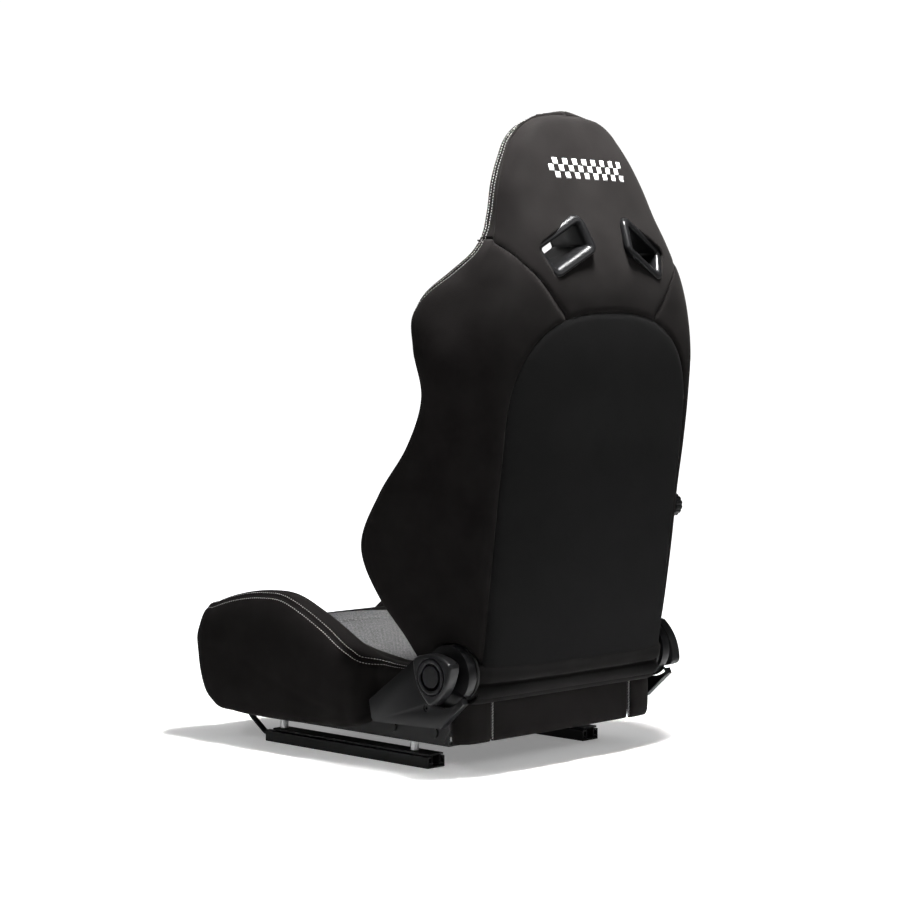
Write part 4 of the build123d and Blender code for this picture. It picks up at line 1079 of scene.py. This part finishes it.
def skirt_run(path, low, high, thickness, bulge):
    """Padded strip of fabric that stands along a path in x and y."""
    spots, along = lengthwise([(x, y, 0.0) for x, y in path], 4.0)
    outward = np.stack([along[:, 1], -along[:, 0], np.zeros(len(along))], -1)
    middle = np.array([0.0, 200.0, 0.0])
    flip = np.sign(((spots - middle) * outward).sum(1))
    outward = outward * np.where(flip == 0, 1, flip)[:, None]
    angle = np.arange(28) * 2 * math.pi / 28
    half = 0.5 * (high - low)
    rings = []
    for k, (spot, out) in enumerate(zip(spots, outward)):
        end = min(1.0, (k + 0.4) / 3, (len(spots) - k - 0.6) / 3)
        size = math.sqrt(1 - (1 - end) ** 2) if end < 1 else 1.0
        c, s = np.cos(angle), np.sin(angle)
        depth = np.sign(c) * np.abs(c) ** 0.75 * thickness * (0.5 + 0.5 * size)
        depth = depth + bulge * size * np.clip(1 - s**2, 0, 1) * (c > 0)
        z = 0.5 * (low + high) + np.sign(s) * np.abs(s) ** 0.45 * half * (0.97 + 0.03 * size)
        rings.append(spot + depth[:, None] * out + np.stack([0 * z, 0 * z, z], -1))
    return rings


def build_skirt():
    """Fabric round the rear of the base: a centre panel between two corner blocks."""
    corner = [(151.5, 268.5), (180, 268), (194, 265.5), (203, 258), (205.5, 249), (205.5, 244)]
    runs = [
        ("rear_skirt_middle", [(-149, 268.2), (0, 270), (149, 268.2)], 47.0, 111.0, 3.2, 1.6),
        ("rear_skirt_left", corner, 46.5, 110.0, 3.6, 2.2),
        ("rear_skirt_right", [(-x, y) for x, y in corner], 46.5, 110.0, 3.6, 2.2),
    ]
    for name, path, low, high, thickness, bulge in runs:
        piece = fixed_normals(tube(name, skirt_run(path, low, high, thickness, bulge), SUEDE))
        finish_soft(piece, "seat_base", "suede_black",
                    ["rear_skirt"] if name == "rear_skirt_middle" else ())
    up = np.array([(0.0, 1.0, 0.0)] * 60)
    for side, word in SIDES:
        heights = np.linspace(50, 106, 60)
        line = np.stack([np.full(60, side * 150.3), np.full(60, 271.6), heights], -1)
        stitches(f"skirt_overlock_{word}", [(line, up)], "seat_base", THREAD, 2.2, 4.2,
                 0.4, 1.0)
    top = [(x, 271.0 - 2.0 * (x / 150) ** 2, 111.2) for x in np.linspace(-148, 148, 60)]
    piping("skirt_top_edge", top, 1.7, "seat_base", PLASTIC, "satin_plastic")


def build_gusset():
    """Two soft folds between the backrest's lower edge and the skirt."""
    outer = [(300, 163), (309, 156), (311.5, 147), (308, 139), (300, 134.5), (303, 129),
             (301, 121), (293, 114), (282, 110), (274, 107.5)]
    inner = [(274, 104.5), (284, 106.5), (291, 111), (294.5, 120), (293, 131), (300, 141),
             (301, 148), (296, 158)]
    rings = []
    for x in np.linspace(-197, 197, 110):
        ring = catmull(outer + inner, 74, closed=True)
        edge = math.exp(-((197 - abs(x)) / 9.0) ** 2)
        ripple = 0.9 * math.sin(x * 0.055) + 0.6 * math.sin(x * 0.021 + 1.0)
        fold = np.exp(-((ring[:, 1] - 142) / 18.0) ** 2)
        y = ring[:, 0] - 9.0 * edge - 10.0 * (abs(x) / 197) ** 3 * fold + ripple * fold
        rings.append(np.stack([np.full(74, x), y, ring[:, 1]], -1))
    piece = fixed_normals(tube("rear_gusset_folds", rings, SUEDE_DARK))
    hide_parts("rear_gusset")
    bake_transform(piece)


# ---- rigid parts ----------------------------------------------------------------------------
def softened(node, name, material, width, slot, body):
    """Stands for a CAD part, with its sharp edges rounded."""
    mesh = nodes[node].data.copy()
    piece = new_object(name, mesh)
    mesh.materials.clear()
    mesh.materials.append(material)
    work = bmesh.new()
    work.from_mesh(mesh)
    bmesh.ops.remove_doubles(work, verts=work.verts, dist=0.005 * MM)
    bmesh.ops.dissolve_limit(work, angle_limit=math.radians(1.0), verts=work.verts,
                             edges=work.edges)
    work.to_mesh(mesh)
    work.free()
    bevel = piece.modifiers.new("rounding", "BEVEL")
    bevel.width = width * MM
    bevel.segments = 3
    bevel.limit_method = "ANGLE"
    bevel.angle_limit = math.radians(38)
    bevel.use_clamp_overlap = True
    applied(piece)
    piece.data.polygons.foreach_set("use_smooth", [True] * len(piece.data.polygons))
    bpy.context.view_layer.objects.active = piece
    piece.select_set(True)
    bpy.ops.object.shade_smooth_by_angle(angle=math.radians(35))
    piece.select_set(False)
    finish_rigid(piece, body, slot, node)


def build_knob_caps():
    """Nearly flat caps with a groove round the middle, set in the knobs' faces."""
    profile = [(0.5, 1.55), (6.0, 1.5), (12.0, 1.45), (15.5, 1.4), (16.8, 1.25), (17.6, 0.7),
               (18.8, 0.7), (19.6, 1.45), (22.5, 1.75), (25.0, 1.5), (26.0, 0.6), (26.1, -3.0),
               (0.5, -3.0)]
    angle = np.arange(72) * 2 * math.pi / 72
    for side, word in SIDES:
        rings = [np.stack([np.full(72, side * (254.6 + out)), HINGE[0] + radius * np.cos(angle),
                           HINGE[1] + radius * np.sin(angle)], -1) for radius, out in profile]
        piece = fixed_normals(tube(f"knob_cap_{word}", rings, KNOB_PLASTIC))
        replaced = ["knob_caps"] if side > 0 else []
        finish_rigid(piece, "recline_drive", "satin_plastic", *replaced)


def both(name):
    return [f"{name}_left", f"{name}_right"]


def finish_cad_parts():
    """Softens the visible covers and knobs, and gives the other CAD parts their materials."""
    for word in ("left", "right"):
        softened(f"side_cover_{word}", f"hinge_cover_{word}", PLASTIC, 1.2, "satin_plastic",
                 "seat_base")
        softened(f"recline_knob_{word}", f"tri_knob_{word}", KNOB_PLASTIC, 0.8, "satin_plastic",
                 "recline_drive")
    softened("lumbar_knob", "fluted_knob", KNOB_PLASTIC, 0.5, "satin_plastic", "lumbar_drive")
    finishes = {
        RAIL_PAINT: both("upper_rail") + both("lower_rail") + both("latch_lever")
                    + ["arm_bolts", "cover_screws", "rail_stops"],
        BAR_PAINT: ["towel_bar"],
        FRAME_PAINT: both("frame_side") + both("base_arm") + both("back_arm")
                     + ["front_cross_tube", "rear_cross_tube", "back_hoop", "back_cross_tube",
                        "head_frame", "lumbar_crossbar"],
        PLATE: ["lumbar_plate"],
        BRIGHT: both("recliner_disc") + ["recline_shaft", "lumbar_shaft"],
        ZINC: ["seat_spacers", "seat_bolts", "seat_nuts", "latch_pins"],
        WIRE: ["seat_springs", "back_springs", "latch_springs"],
        NYLON: ["rail_glides", "lumbar_cams"],
    }
    for material, names in finishes.items():
        for name in names:
            mesh = nodes[name].data
            if not mesh.materials:
                mesh.materials.append(material)
            for i in range(len(mesh.materials)):
                mesh.materials[i] = material


build_stage()
pieces, neck_left, neck_right, tip = build_backrest()
build_back_insert()
build_bezels()
build_back_stitching(pieces, neck_left, neck_right, tip)
build_bolsters()
build_insert()
build_thigh_roll()
build_skirt()
build_gusset()
build_knob_caps()
finish_cad_parts()
